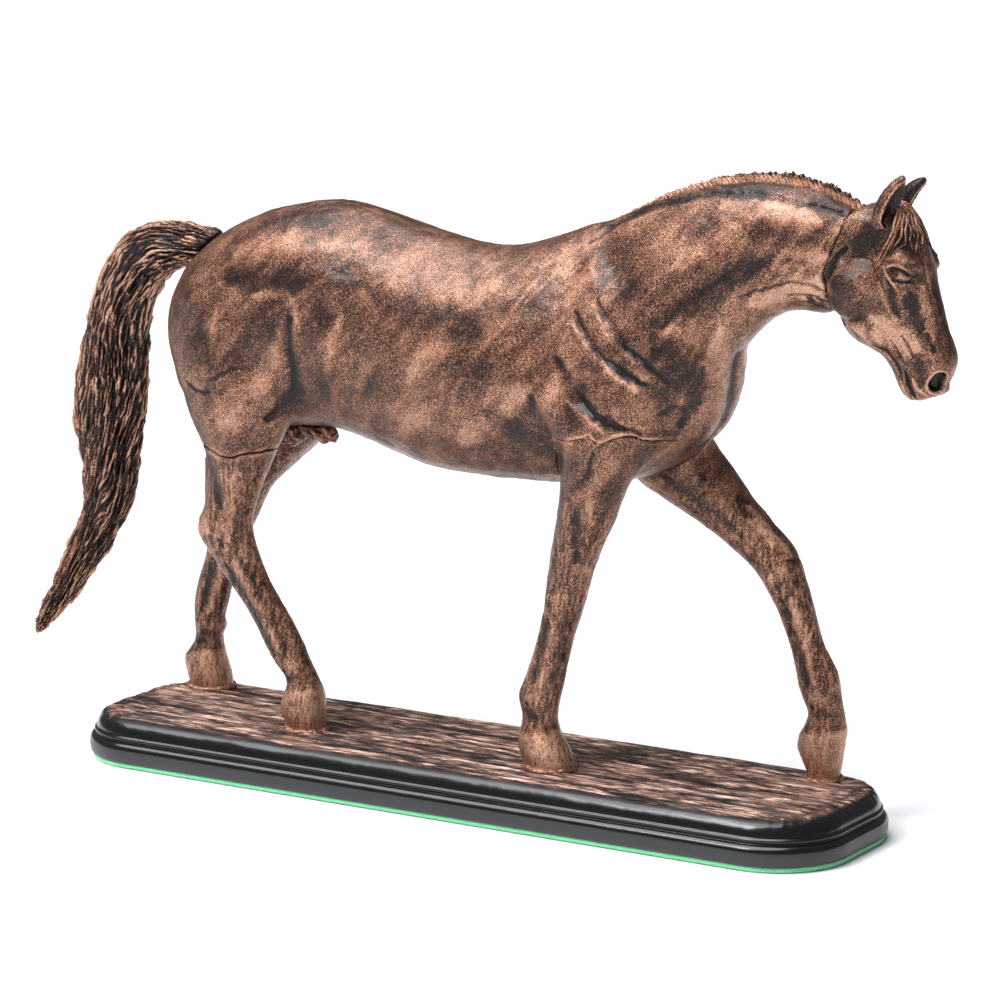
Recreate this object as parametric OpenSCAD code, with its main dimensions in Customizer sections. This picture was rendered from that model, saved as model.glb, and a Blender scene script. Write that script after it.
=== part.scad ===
// Walking horse statuette on an oblong moulded plinth with a felt pad.
// Origin: middle of the felt's underside. +X is the way the horse walks, +Y is its left, +Z is up.

/* [Plinth] */
// Length of the plinth at its widest moulding
plinth_length = 270; // [260:1:300]
// Width of the plinth at its widest moulding
plinth_width = 69; // [64:1:80]
// Height of the plinth without the felt
plinth_height = 13.2; // [12:0.1:16]
// Corner radius in plan at the widest moulding
plinth_corner = 24.3; // [18:0.1:30]
// Thickness of the felt pad
felt_thickness = 1.5; // [1:0.1:3]

/* [Horse] */
// Height of the withers above the plinth
withers_height = 168; // [150:1:172]
// How far the horse stands to the left of the plinth's middle line
horse_offset = 6; // [3:0.5:8]
// Height of the upright mane above the crest
mane_height = 2.7; // [1.5:0.1:4]
// Number of tufts along the mane
mane_tufts = 24; // [16:1:32]

/* [Rods] */
// Radius of the steel rod inside each leg
leg_rod_radius = 1.5; // [1:0.1:1.8]
// Depth that each leg rod reaches into the plinth
leg_rod_depth = 8; // [4:0.5:10]
// Radius of the dowel between neck and head
neck_dowel_radius = 2.5; // [1.5:0.1:3.5]
// Radius of the pin between dock and tail
tail_pin_radius = 1.8; // [1:0.1:2.5]

/* [Hidden] */

plinth_top = felt_thickness + plinth_height;
felt_inset = 1;
// The shapes below are drawn at the size where the withers are 168 mm above a ground at 14.7 mm.
drawn_withers = 168;
drawn_ground = 14.7;
drawn_middle = 6;
horse_scale = withers_height / drawn_withers;
// Heights of the glued seams of the hind and fore legs, and where the flank ends.
seam_z_hind = 102;
seam_z_fore = 119;
girth_x = 40;
// Longer than any side of the statuette.
far = 300;

// The plinth's edge from the bottom up: [inset from the widest moulding, height share].
plinth_edge = [
    [0.7, 0], [0.3, 0.06], [0, 0.16], [0, 0.32], [0.5, 0.43], [1.5, 0.49], [1.8, 0.53],
    [1.6, 0.57], [1.8, 0.62], [2.3, 0.67], [2.6, 0.72], [3.1, 0.8], [3.9, 0.89], [4.9, 0.96], [6.1, 1]
];

// A cross-section is [back x, back z, front x, front z, y, half width, share that the back is wider].
// Rump, barrel, chest and neck; "back" is the underside here and "front" is the top line.
trunk_sections = [
    [-111.5, 130, -111.5, 148, 6, 10, 0],
    [-107.5, 118, -106.5, 159, 6, 17, 0],
    [-98.5, 109, -97.5, 167.4, 6, 20.5, 0.06],
    [-85, 106.5, -85, 174, 6, 22.8, 0.08],
    [-72, 108, -72, 178.5, 6, 23.5, 0.1],
    [-53, 109.5, -53, 181.6, 6, 23, 0.1],
    [-37, 106.2, -37, 179.6, 6, 22.5, 0.1],
    [-18, 101, -18, 175, 6, 23.5, 0.1],
    [0, 100, -2, 172, 6, 24.5, 0.12],
    [14, 99.9, 11, 171.8, 6, 24.5, 0.14],
    [28, 100.2, 23, 174.8, 6, 24, 0.2],
    [44, 101.5, 32, 178, 6, 23, 0.28],
    [58, 105, 38, 180.4, 6, 21.5, 0.32],
    [72, 112, 43, 181.5, 6, 20, 0.34],
    [83, 122, 48, 183.6, 6, 18.5, 0.34],
    [86.6, 134, 54, 186.2, 6, 17, 0.32],
    [87.5, 143, 62, 189.8, 6, 15, 0.3],
    [92, 149, 72, 193.2, 6, 13, 0.26],
    [99, 155.5, 84, 195.8, 6, 11.5, 0.22],
    [105, 158.6, 95, 197, 6, 10.5, 0.2],
    [111, 159.2, 107, 196.8, 6, 10, 0.16],
    [117, 159, 117, 194.3, 6, 9.5, 0.1],
    [123, 161.5, 127, 190.3, 6, 9, 0.05]
];

// Head from the poll down to the lips; "back" is the jaw and "front" is the face.
head_sections = [
    [119, 183, 131, 192.6, 6, 7.5, 0],
    [119.5, 176, 141, 191.4, 6, 8.4, 0],
    [120, 168.6, 147, 184.6, 6, 9, 0],
    [121.2, 159.4, 150.2, 177.5, 6, 9.2, 0],
    [125.2, 153, 152.2, 170.5, 6, 8, 0.05],
    [131.2, 150.8, 154.4, 163.5, 6, 6.6, 0.08],
    [135.4, 148.2, 156.2, 157.2, 6, 5.7, 0.05],
    [138.4, 144.4, 158.6, 151.8, 6, 5.5, 0],
    [140.4, 140.2, 158.8, 147.2, 6, 5.8, -0.05],
    [143, 137, 156.2, 142.4, 6, 5.2, 0],
    [147.8, 135.8, 152.6, 138.6, 6, 3.4, 0]
];

right_fore_sections = [
    [38, 140, 80, 146, -5, 10, 0],
    [37, 126, 74, 131, -7, 12, 0],
    [36.5, 112, 67, 117, -8.5, 10.8, 0],
    [36.8, 102, 59, 104.5, -9, 8.6, 0],
    [35.2, 92, 54.5, 93, -9, 7, 0],
    [33.2, 82, 49.4, 82.5, -9, 5.9, 0],
    [31.8, 73, 46.4, 73.5, -9, 5.4, 0],
    [31, 65, 43.8, 65.5, -9, 5.6, 0],
    [28.8, 55.5, 40.8, 56, -9, 4.8, 0],
    [25.8, 47, 38.6, 47.5, -9, 4.2, 0],
    [23.4, 40.5, 37.4, 41.5, -9, 4.4, 0],
    [22, 36, 36, 36.6, -9.2, 4.9, 0],
    [23.8, 30.4, 35.2, 31, -9.4, 4.6, 0],
    [22.6, 25.5, 36, 26, -9.5, 5.6, 0],
    [22.4, 20, 39.6, 20.4, -9.5, 6.9, 0],
    [25.6, 14.7, 41.4, 14.7, -9.5, 6.8, 0]
];

left_fore_sections = [
    [42, 116, 68, 140, 17, 9, 0],
    [46, 102, 70, 118, 19.5, 10.4, 0],
    [57, 95, 77, 108, 21, 9.2, 0],
    [67.3, 89.2, 84.2, 98.8, 22, 7.3, 0],
    [77.3, 83, 92, 90.4, 22.3, 6.1, 0],
    [85.4, 77, 99.6, 83, 22.5, 5.8, 0],
    [91, 70, 102.8, 74.5, 22.5, 5.6, 0],
    [95.4, 62, 106, 65.5, 22.5, 4.8, 0],
    [98.8, 53, 109, 56, 22.5, 4.2, 0],
    [100.6, 45, 114.2, 47.4, 22.5, 4.4, 0],
    [102, 40, 115, 41.8, 22.5, 4.9, 0],
    [104.8, 34.4, 116.2, 35.6, 22.5, 4.5, 0],
    [102.2, 28.6, 117.2, 29.6, 22.5, 5.6, 0],
    [101.2, 23.6, 116.2, 23.4, 22.5, 6.4, 0],
    [104.4, 18, 115.2, 17.8, 22.5, 6, 0],
    [105.2, 14.7, 114.6, 14.7, 22.5, 5.2, 0]
];

right_hind_sections = [
    [-106, 142, -60, 142, -5, 11, 0],
    [-104, 126, -58, 126, -7.5, 11.8, 0],
    [-99.5, 112, -62.5, 113, -8.6, 10.6, 0],
    [-93.2, 101.5, -67.6, 103, -9, 8.6, 0],
    [-92.6, 91, -72.6, 92.5, -9, 6.9, 0],
    [-94.2, 82.5, -76.2, 83.5, -9, 5.9, 0],
    [-97.2, 75, -77, 77, -9, 6, 0],
    [-92, 67.5, -74.6, 69, -9, 5.4, 0],
    [-85.2, 59.5, -70.6, 61, -9, 4.6, 0],
    [-78.2, 51.2, -64.6, 52.5, -9, 4.2, 0],
    [-72.4, 42, -58.6, 43.5, -9, 4.3, 0],
    [-68.8, 36.6, -55.6, 37, -9, 4.8, 0],
    [-63.4, 30.5, -52.4, 31.4, -9, 4.5, 0],
    [-64.4, 25.5, -50.4, 26.5, -9, 5.7, 0],
    [-66, 20.6, -50, 21, -9, 6.4, 0],
    [-63.4, 16.6, -50, 16.8, -9, 5.6, 0],
    [-60.2, 14.7, -50.4, 14.7, -9, 4.6, 0]
];

left_hind_sections = [
    [-106, 142, -60, 142, 17, 11, 0],
    [-105, 126, -58, 126, 19.5, 11.8, 0],
    [-102, 112, -64.5, 111, 21, 10.6, 0],
    [-100, 101, -71.5, 101.5, 22, 8.6, 0],
    [-104, 92, -82, 93, 22.5, 7, 0],
    [-109, 83.5, -92, 83, 23, 6, 0],
    [-112.8, 75, -97, 73.5, 23, 6, 0],
    [-115, 67, -101.4, 65.5, 23, 5.3, 0],
    [-117.2, 58, -105, 57, 23, 4.5, 0],
    [-120.6, 49, -107.8, 48.5, 23, 4.2, 0],
    [-121.8, 41.5, -109.8, 41, 23, 4.6, 0],
    [-121.2, 35.5, -112.6, 35, 23, 4.8, 0],
    [-121.4, 30, -111.6, 30, 23, 4.6, 0],
    [-125.4, 24.6, -110.6, 25, 23, 6, 0],
    [-125, 20, -109, 20, 23, 6.8, 0],
    [-122.8, 14.7, -108, 14.7, 23, 6.6, 0]
];

// Tail from the dock to the tip; "back" is the outer edge and "front" is the inner edge.
tail_sections = [
    [-93, 168.4, -95, 157.5, 6, 5, 0],
    [-106, 169.4, -107.5, 156.8, 6, 6.4, 0],
    [-120, 169.6, -116, 154.2, 6, 7.8, 0],
    [-130.6, 166.8, -120.8, 150.8, 6, 8.8, 0],
    [-139.4, 158, -124.4, 145.5, 6, 9.2, 0],
    [-145.6, 146.5, -127, 138.5, 6, 9.3, 0],
    [-150, 134, -128.6, 130, 6, 9.3, 0],
    [-154, 120, -129.4, 119, 6, 9.1, 0],
    [-156, 106.5, -130.4, 107, 6, 8.6, 0],
    [-155.2, 97, -131.4, 96.5, 6, 7.8, 0],
    [-152.6, 86, -132.6, 85, 6, 6.8, 0],
    [-152.8, 76, -135.8, 74.5, 6, 6.2, 0],
    [-156.6, 65, -141.4, 66, 6, 5.6, 0],
    [-163, 54.5, -149, 55.5, 6, 4.8, 0],
    [-169.2, 43.5, -157, 45, 6, 3.8, 0],
    [-174.4, 33, -166, 35.4, 6, 2.5, 0],
    [-177, 26, -174.8, 26.6, 6, 1.1, 0]
];

// Route of each leg's rod above the plinth: [x, y, z] at the hoof first, then up to the body.
right_fore_route = [[32, -9.5, 26], [29.8, -9.2, 38], [37, -9, 68], [46.5, -9, 95], [52, -8, 126]];
left_fore_route = [
    [110.5, 22.5, 24], [109.5, 22.5, 40], [103.5, 22.5, 58], [95.5, 22.5, 79], [72, 21.5, 100],
    [60, 18, 122]
];
right_hind_route = [
    [-58, -9, 24], [-62.5, -9, 38], [-73, -9, 56], [-85.5, -9, 75], [-82.5, -9, 97], [-80, -7, 126]
];
left_hind_route = [
    [-116, 23, 24], [-115.6, 23, 38], [-109, 23, 62], [-104.5, 23, 77], [-88.5, 22, 97],
    [-82, 19, 126]
];

// Rounded masses that lie the same on both sides: [from, to, radius at from, radius at to].
body_masses = [
    [[64, -8, 127], [46, -2, 162], 8.4, 7],
    [[48, -12, 116], [36, -11, 130], 7, 9],
    [[-66, -8, 122], [-60, -4, 150], 9, 9],
    [[-95, -4, 126], [-92, -3, 148], 12, 13],
    [[71, -1, 121], [70, -1, 136], 6.4, 8.4]
];

// Masses of the head on one side: cheek, brow, nostril, lips and chin.
head_masses = [
    [[128.6, 0.4, 167.6], [133, 0.4, 169.5], 8.6, 7.6],
    [[144, -1.4, 178.6], [148, 0, 175.2], 2.5, 2.2],
    [[154.6, 2.8, 146.8], [152.6, 2.4, 149.4], 2.6, 2.4],
    [[149.6, 4.2, 139.8], [153.6, 4.4, 140.6], 3, 2.5]
];

// Masses of the legs, one list each: knee or hock, fetlock and the heel of the hoof.
right_fore_masses = [
    [[39.8, -9, 69], [38.4, -9, 62.5], 4.9, 4.2],
    [[37, -11, 68], [36, -11, 62.5], 4, 3.8],
    [[37, -7, 68], [36, -7, 62.5], 4, 3.8],
    [[27, -9.2, 36.5], [30.6, -9.2, 35.6], 4, 4.4],
    [[26.4, -11.2, 24.4], [28, -12.6, 18], 2.4, 2],
    [[26.4, -7.8, 24.4], [28, -6.4, 18], 2.4, 2],
    [[44, -11, 96], [39, -10.6, 80], 6, 3.8],
    [[50, -12.4, 100], [43, -11.2, 82], 5.4, 3.6]
];
left_fore_masses = [
    [[95.6, 22.5, 80], [97.4, 22.5, 75], 4.7, 4.2],
    [[92, 24.4, 78.5], [95, 24.4, 72.6], 4, 3.8],
    [[92, 20.6, 78.5], [95, 20.6, 72.6], 4, 3.8],
    [[107, 22.5, 39], [110.4, 22.5, 39.6], 4, 4.4],
    [[106, 24.4, 26], [106.6, 25.2, 21.4], 2.3, 2],
    [[106, 20.6, 26], [106.6, 19.8, 21.4], 2.3, 2],
    [[66, 24.4, 98], [78, 24.4, 89], 5.4, 3.6],
    [[70.6, 23.8, 103.6], [82.6, 23.8, 93.6], 5.2, 3.4]
];
right_hind_masses = [
    [[-93, -9, 77], [-92, -9, 75], 3.6, 3.4],
    [[-83, -11.2, 78], [-82.6, -11, 70], 4.2, 3.6],
    [[-83, -6.8, 78], [-82.6, -7, 70], 4.2, 3.6],
    [[-64.6, -9, 37], [-60.4, -9, 36], 3.8, 4.4],
    [[-61.4, -10.6, 24.6], [-61, -11.4, 20.8], 2.3, 2],
    [[-61.4, -7.4, 24.6], [-61, -6.6, 20.8], 2.3, 2],
    [[-76, -12, 104], [-80.6, -11.6, 88], 5.8, 3.6],
    [[-88, -9, 99], [-90.6, -9, 86], 5.2, 3.4]
];
left_hind_masses = [
    [[-109.4, 23, 76], [-108.8, 23, 74], 3.4, 3.4],
    [[-103.4, 25.2, 76], [-104.6, 25, 68], 4.2, 3.6],
    [[-103.4, 20.8, 76], [-104.6, 21, 68], 4.2, 3.6],
    [[-117, 23, 36], [-114.6, 23, 35.6], 3.8, 4.4],
    [[-121.8, 24.8, 25], [-120.4, 26.2, 18], 2.4, 2.1],
    [[-121.8, 21.2, 25], [-120.4, 19.8, 18], 2.4, 2.1],
    [[-79, 25, 103], [-92, 25, 89], 5.8, 3.6],
    [[-90, 22, 100], [-101, 23, 87], 5.2, 3.4]
];

function spline(a, b, c, d, t) =
    (2 * b + (c - a) * t + (2 * a - 5 * b + 4 * c - d) * t * t
    + (3 * b - a - 3 * c + d) * t * t * t) / 2;

function held(list, k) = list[max(0, min(len(list) - 1, k))];

function refined(list, steps) = [
    for (i = [0:len(list) - 2])
        for (s = [0:steps - 1])
            spline(held(list, i - 1), held(list, i), held(list, i + 1), held(list, i + 2), s / steps),
    list[len(list) - 1]
];

function ring(c, sides) = [
    for (i = [0:sides - 1])
        let (across = cos(360 * i / sides), side = sin(360 * i / sides))
            [
                (c[0] + c[2] + (c[2] - c[0]) * across) / 2,
                c[4] + c[5] * side * (1 - c[6] * across),
                (c[1] + c[3] + (c[3] - c[1]) * across) / 2
            ]
];

// A closed skin over a list of cross-sections.
module loft(sections, steps, sides) {
    rings = refined(sections, steps);
    last = len(rings) - 1;
    polyhedron(
        points = [for (r = rings) each ring(r, sides)],
        faces = [
            [for (i = [sides - 1:-1:0]) i],
            for (k = [0:last - 1])
                for (i = [0:sides - 1])
                    let (a = k * sides + i, b = k * sides + (i + 1) % sides)
                        each [[a, b, b + sides], [a, b + sides, a + sides]],
            [for (i = [0:sides - 1]) last * sides + i]
        ],
        convexity = 10
    );
}

// A rounded mass between two points.
module mass(m, facets = 16) {
    hull() {
        translate(m[0]) sphere(m[2], $fn = facets);
        translate(m[1]) sphere(m[3], $fn = facets);
    }
}

module masses(list) {
    for (m = list) mass(m);
}

module mirrored_pair() {
    children();
    translate([0, 2 * drawn_middle, 0]) mirror([0, 1, 0]) children();
}

// Puts what is drawn on the drawn ground onto the plinth, at the horse's size.
module on_plinth() {
    translate([0, horse_offset - drawn_middle * horse_scale, plinth_top])
        scale(horse_scale)
            translate([0, 0, -drawn_ground])
                children();
}

module trunk() {
    loft(trunk_sections, 2, 26);
    mirrored_pair() masses(body_masses);
}

module legs() {
    loft(right_fore_sections, 2, 20);
    loft(left_fore_sections, 2, 20);
    loft(right_hind_sections, 2, 20);
    loft(left_hind_sections, 2, 20);
    masses(right_fore_masses);
    masses(left_fore_masses);
    masses(right_hind_masses);
    masses(left_hind_masses);
}

module skull() {
    loft(head_sections, 2, 22);
    mirrored_pair() masses(head_masses);
}

// Space that a hind leg takes below its seam, on the right when side is -1.
module hind_space(side) {
    translate([-far, drawn_middle + (side < 0 ? -far : 0), -far])
        cube([far - girth_x, far, far + seam_z_hind]);
}

// Space that a fore leg takes: below the elbow seam, outside the breast and before the girth.
module fore_space(side) {
    translate([0, drawn_middle, 0])
        scale([1, side, 1])
            intersection() {
                translate([0, far, 0])
                    rotate([90, 0, 0])
                        linear_extrude(far)
                            polygon([
                                [0, -10], [20, 98], [33, 101], [39, seam_z_fore], [140, seam_z_fore],
                                [140, -10]
                            ]);
                rotate([90, 0, 90])
                    linear_extrude(far)
                        polygon([
                            [7.5, -10], [7.5, 99], [12.5, seam_z_fore + 1], [far, seam_z_fore + 1],
                            [far, -10]
                        ]);
            }
}

// Space in front of the seam behind the jaw.
module head_space() {
    translate([0, far, 0])
        rotate([90, 0, 0])
            linear_extrude(2 * far)
                polygon([
                    [132, 215], [124.5, 184], [120, 172], [121, 160], [124, 120], [200, 120], [200, 215]
                ]);
}

// Points of a rod from its upper end down to its foot in the plinth.
function rod_points(route) =
    let (hoof = route[0])
        concat(
            [for (i = [len(route) - 1:-1:0]) route[i]],
            [[hoof[0], hoof[1], drawn_ground + 2], [hoof[0], hoof[1], drawn_ground - leg_rod_depth]]
        );

function rod_sections(points) = [
    for (i = [0:len(points) - 1])
        let (way = held(points, i + 1) - held(points, i - 1), reach = norm([way[0], way[2]]))
            let (across = [-way[2], way[0]] * leg_rod_radius / reach)
                [
                    points[i][0] - across[0], points[i][2] - across[1],
                    points[i][0] + across[0], points[i][2] + across[1],
                    points[i][1], leg_rod_radius, 0
                ]
];

module rod(route) {
    loft(rod_sections(rod_points(route)), 1, 12);
}

module all_rods() {
    rod(right_fore_route);
    rod(left_fore_route);
    rod(right_hind_route);
    rod(left_hind_route);
}

module dowel() {
    translate([114, drawn_middle, 178]) rotate([0, 90, 0]) cylinder(r = neck_dowel_radius, h = 22, $fn = 32);
}

module dock_pin() {
    translate([-112, drawn_middle, 163]) rotate([0, 90, 0]) cylinder(r = tail_pin_radius, h = 24, $fn = 32);
}

// Both ears are drawn on the right; the left one is mirrored and pricks further forward.
module ear_solid(lean) {
    root = [136.4, 0.6, 188.2];
    middle = [139.8 + 0.5 * lean, 0.4, 194.2 - 0.4 * lean];
    tip = [143.2 + 1.8 * lean, 1.2 - 0.8 * lean, 201 - 1.6 * lean];
    hull() {
        translate(root) sphere(3, $fn = 20);
        translate(middle) scale([0.9, 0.9, 1.3]) sphere(3.1, $fn = 20);
    }
    hull() {
        translate(middle) scale([0.9, 0.9, 1.3]) sphere(3.1, $fn = 20);
        translate(tip) sphere(0.5, $fn = 20);
    }
}

// Hollow of the ear, open forwards.
module ear_hollow(lean) {
    hull() {
        translate([142.2, 0, 190.6]) sphere(1.6, $fn = 16);
        translate([143.2 + 0.7 * lean, 0, 194.8]) sphere(1.8, $fn = 16);
        translate([143.9 + 1.6 * lean, 0.8 - 0.6 * lean, 198.8 - 1.4 * lean]) sphere(0.5, $fn = 16);
    }
}

module felt_outline(inset) {
    offset_x = plinth_length / 2 - plinth_corner;
    offset_y = plinth_width / 2 - plinth_corner;
    for (x = [-offset_x, offset_x])
        for (y = [-offset_y, offset_y])
            translate([x, y]) circle(plinth_corner - inset, $fn = 96);
    square([2 * offset_x, plinth_width - 2 * inset], center = true);
    square([plinth_length - 2 * inset, 2 * offset_y], center = true);
}

// Half of the plinth's edge profile, as [distance from the corner's axis, height].
function edge_profile(reach) = [
    [0, 0],
    for (p = plinth_edge) [reach - p[0], p[1] * plinth_height],
    [0, plinth_height]
];

module plinth_block() {
    offset_x = plinth_length / 2 - plinth_corner;
    offset_y = plinth_width / 2 - plinth_corner;
    for (x = [-1, 1])
        for (y = [-1, 1])
            translate([x * offset_x, y * offset_y, 0])
                rotate_extrude($fn = 96) polygon(edge_profile(plinth_corner));
    for (side = [-1, 1]) {
        scale([1, side, 1])
            translate([-offset_x, offset_y, 0])
                rotate([90, 0, 90])
                    linear_extrude(2 * offset_x) polygon(edge_profile(plinth_corner));
        scale([side, 1, 1])
            translate([offset_x, offset_y, 0])
                rotate([90, 0, 0])
                    linear_extrude(2 * offset_y) polygon(edge_profile(plinth_corner));
    }
    translate([-offset_x, -offset_y, 0]) cube([2 * offset_x, 2 * offset_y, plinth_height]);
}

module felt_pad() {
    color("limegreen") linear_extrude(felt_thickness) felt_outline(felt_inset);
}

module plinth() {
    color("#1a1512")
        difference() {
            translate([0, 0, felt_thickness]) plinth_block();
            on_plinth()
                for (route = [right_fore_route, left_fore_route, right_hind_route, left_hind_route])
                    translate([route[0][0], route[0][1], drawn_ground - leg_rod_depth])
                        cylinder(r = leg_rod_radius, h = leg_rod_depth + 5, $fn = 24);
        }
}

module body() {
    color("#7a4a33")
        on_plinth()
            difference() {
                union() {
                    trunk();
                    legs();
                }
                hind_space(-1);
                hind_space(1);
                fore_space(-1);
                fore_space(1);
                head_space();
                all_rods();
                dowel();
                dock_pin();
            }
}

module head() {
    color("#7a4a33")
        on_plinth()
            difference() {
                intersection() {
                    union() {
                        trunk();
                        skull();
                    }
                    head_space();
                }
                dowel();
            }
}

module ear(lean) {
    difference() {
        ear_solid(lean);
        ear_hollow(lean);
        skull();
    }
}

module left_ear() {
    color("#5a3626")
        on_plinth()
            translate([0, 2 * drawn_middle, 0]) mirror([0, 1, 0]) ear(1);
}

module right_ear() {
    color("#5a3626") on_plinth() ear(0);
}

module forelock() {
    color("#3b261c")
        on_plinth()
            difference() {
                for (lock = [-1.6:0.8:1.6])
                    for (part = [0, 1])
                        hull() {
                            translate([138 + 5 * part, drawn_middle + lock, 192.6 - 4.4 * part])
                                sphere(1.5 - 0.2 * part, $fn = 12);
                            translate([143 + 4.6 * part, drawn_middle + lock * 1.2, 188.4 - 6 * part])
                                sphere(1.3 - 0.7 * part, $fn = 12);
                        }
                skull();
                ear_solid(0);
                translate([0, 2 * drawn_middle, 0]) mirror([0, 1, 0]) ear_solid(1);
            }
}

// Point on the crest of the neck, where share runs from the withers to the poll.
function crest_point(share) =
    let (crest = refined([for (i = [14:len(trunk_sections) - 1]) trunk_sections[i]], 8))
        let (c = crest[round(share * (len(crest) - 1))]) [c[2], c[3]];

module mane() {
    color("#3b261c")
        on_plinth()
            difference() {
                for (i = [0:mane_tufts - 1]) {
                    foot = crest_point(i / (mane_tufts - 1) * 0.97);
                    next = crest_point(min(1, (i + 1) / (mane_tufts - 1) * 0.97));
                    rise = mane_height * (0.55 + 0.45 * sin(180 * (i + 1) / (mane_tufts + 1)));
                    hull() {
                        translate([foot[0], drawn_middle, foot[1] - 1]) sphere(1.5, $fn = 8);
                        translate([next[0], drawn_middle, next[1] - 1]) sphere(1.5, $fn = 8);
                        translate([foot[0] + 0.6, drawn_middle, foot[1] + rise - 0.5]) sphere(0.7, $fn = 8);
                        translate([foot[0] + 2.2, drawn_middle, foot[1] + rise - 0.7]) sphere(0.7, $fn = 8);
                    }
                }
                trunk();
                skull();
            }
}

// A point inside the tail at a cross-section: share across it, and how far to one side.
function tail_point(c, share, side) = [
    c[0] + (c[2] - c[0]) * share,
    c[4] + side * c[5] * 0.62,
    c[1] + (c[3] - c[1]) * share
];

// Heavy locks that stand proud on both sides of the tail.
module tail_locks() {
    for (i = [2:2:len(tail_sections) - 4])
        for (side = [-1, 1]) {
            upper = tail_sections[i];
            lower = tail_sections[i + 2];
            mass([
                tail_point(upper, 0.4, side), tail_point(lower, 0.5, side),
                upper[5] * 0.42, lower[5] * 0.42
            ], 12);
        }
}

module tail() {
    color("#3b261c")
        on_plinth()
            difference() {
                union() {
                    loft(tail_sections, 2, 22);
                    tail_locks();
                }
                trunk();
                dock_pin();
            }
}

module leg(side, fore) {
    on_plinth()
        difference() {
            intersection() {
                union() {
                    trunk();
                    legs();
                }
                if (fore) fore_space(side);
                else hind_space(side);
            }
            all_rods();
        }
}

module left_fore_leg() {
    color("#8a5638") leg(1, true);
}

module right_fore_leg() {
    color("#8a5638") leg(-1, true);
}

module left_hind_leg() {
    color("#8a5638") leg(1, false);
}

module right_hind_leg() {
    color("#8a5638") leg(-1, false);
}

module sheath() {
    color("#4a2f22")
        on_plinth()
            difference() {
                for (side = [-1, 1])
                    for (m = [
                        [[-72, 0.9, 110], [-70, 1, 105.4], 4.6, 3.2],
                        [[-66, 0.8, 109.5], [-60, 0.7, 107], 3.4, 3],
                        [[-60, 0.7, 107], [-56.6, 0.5, 106.4], 3, 2.2],
                        [[-57.4, 0.9, 108], [-56.2, 1.1, 107], 2.2, 1.9]
                    ])
                        mass([
                            [m[0][0], drawn_middle + side * m[0][1], m[0][2]],
                            [m[1][0], drawn_middle + side * m[1][1], m[1][2]], m[2], m[3]
                        ], 12);
                trunk();
                legs();
            }
}

module left_fore_rod() {
    color("silver") on_plinth() rod(left_fore_route);
}

module right_fore_rod() {
    color("silver") on_plinth() rod(right_fore_route);
}

module left_hind_rod() {
    color("silver") on_plinth() rod(left_hind_route);
}

module right_hind_rod() {
    color("silver") on_plinth() rod(right_hind_route);
}

module neck_dowel() {
    color("silver") on_plinth() dowel();
}

module tail_pin() {
    color("silver") on_plinth() dock_pin();
}

module oval_slab(hoof, height, margin) {
    half_length = (hoof[2] - hoof[0]) / 2 + margin;
    half_width = hoof[5] + margin;
    translate([(hoof[0] + hoof[2]) / 2, hoof[4], drawn_ground + height])
        linear_extrude(0.1) scale([1, half_width / half_length]) circle(half_length, $fn = 24);
}

// Filler round the foot of a hoof: a thin skirt on the plinth and a bead against the hoof.
module filler_ring(hoof) {
    hull() {
        oval_slab(hoof, 0, 1.5);
        oval_slab(hoof, 0.5, 0.9);
    }
    hull() {
        oval_slab(hoof, 0.4, 0.9);
        oval_slab(hoof, 1.4, 0.4);
    }
}

module hoof_fillets() {
    color("#b06f4c")
        on_plinth()
            difference() {
                for (list = [
                    left_fore_sections, right_fore_sections, left_hind_sections, right_hind_sections
                ])
                    filler_ring(list[len(list) - 1]);
                legs();
            }
}

felt_pad();
plinth();
body();
head();
left_ear();
right_ear();
forelock();
mane();
tail();
left_fore_leg();
right_fore_leg();
left_hind_leg();
right_hind_leg();
sheath();
left_fore_rod();
right_fore_rod();
left_hind_rod();
right_hind_rod();
neck_dowel();
tail_pin();
hoof_fillets();
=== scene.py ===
import math

import bpy
import numpy as np
import openvdb as vdb
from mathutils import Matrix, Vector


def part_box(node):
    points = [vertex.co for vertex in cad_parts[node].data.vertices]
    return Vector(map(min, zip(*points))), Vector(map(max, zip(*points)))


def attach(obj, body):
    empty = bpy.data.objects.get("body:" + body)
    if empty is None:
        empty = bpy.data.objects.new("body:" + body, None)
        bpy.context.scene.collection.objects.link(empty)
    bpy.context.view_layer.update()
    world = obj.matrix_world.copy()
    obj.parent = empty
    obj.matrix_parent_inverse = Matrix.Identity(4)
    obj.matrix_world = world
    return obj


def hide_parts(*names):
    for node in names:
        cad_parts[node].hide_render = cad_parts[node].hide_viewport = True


# Looks of the walking-horse statuette. The horse is worked as clay on a grid of distances, in drawn
# millimetres from the middle of the felt's underside: +X is the way it walks, +Y its left and +Z up.

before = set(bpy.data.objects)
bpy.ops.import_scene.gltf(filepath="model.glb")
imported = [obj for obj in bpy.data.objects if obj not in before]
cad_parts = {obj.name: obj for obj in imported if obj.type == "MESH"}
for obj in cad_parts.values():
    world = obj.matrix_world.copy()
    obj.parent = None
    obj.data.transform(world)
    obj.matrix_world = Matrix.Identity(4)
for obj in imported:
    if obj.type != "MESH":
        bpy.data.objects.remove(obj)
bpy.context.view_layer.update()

PLINTH_LOW, PLINTH_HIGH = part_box("plinth")
FELT_LOW, FELT_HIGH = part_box("felt_pad")
DRAWN_LENGTH = 270
MM = (PLINTH_HIGH.x - PLINTH_LOW.x) / DRAWN_LENGTH
MIDDLE = np.array([
    (PLINTH_LOW.x + PLINTH_HIGH.x) / 2,
    (PLINTH_LOW.y + PLINTH_HIGH.y) / 2,
    FELT_LOW.z,
])
GROUND = (PLINTH_HIGH.z - FELT_LOW.z) / MM
# The horse's middle plane, and the place along X that its hind legs are behind.
CENTRE = 6.0
GIRTH = -40.0
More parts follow.
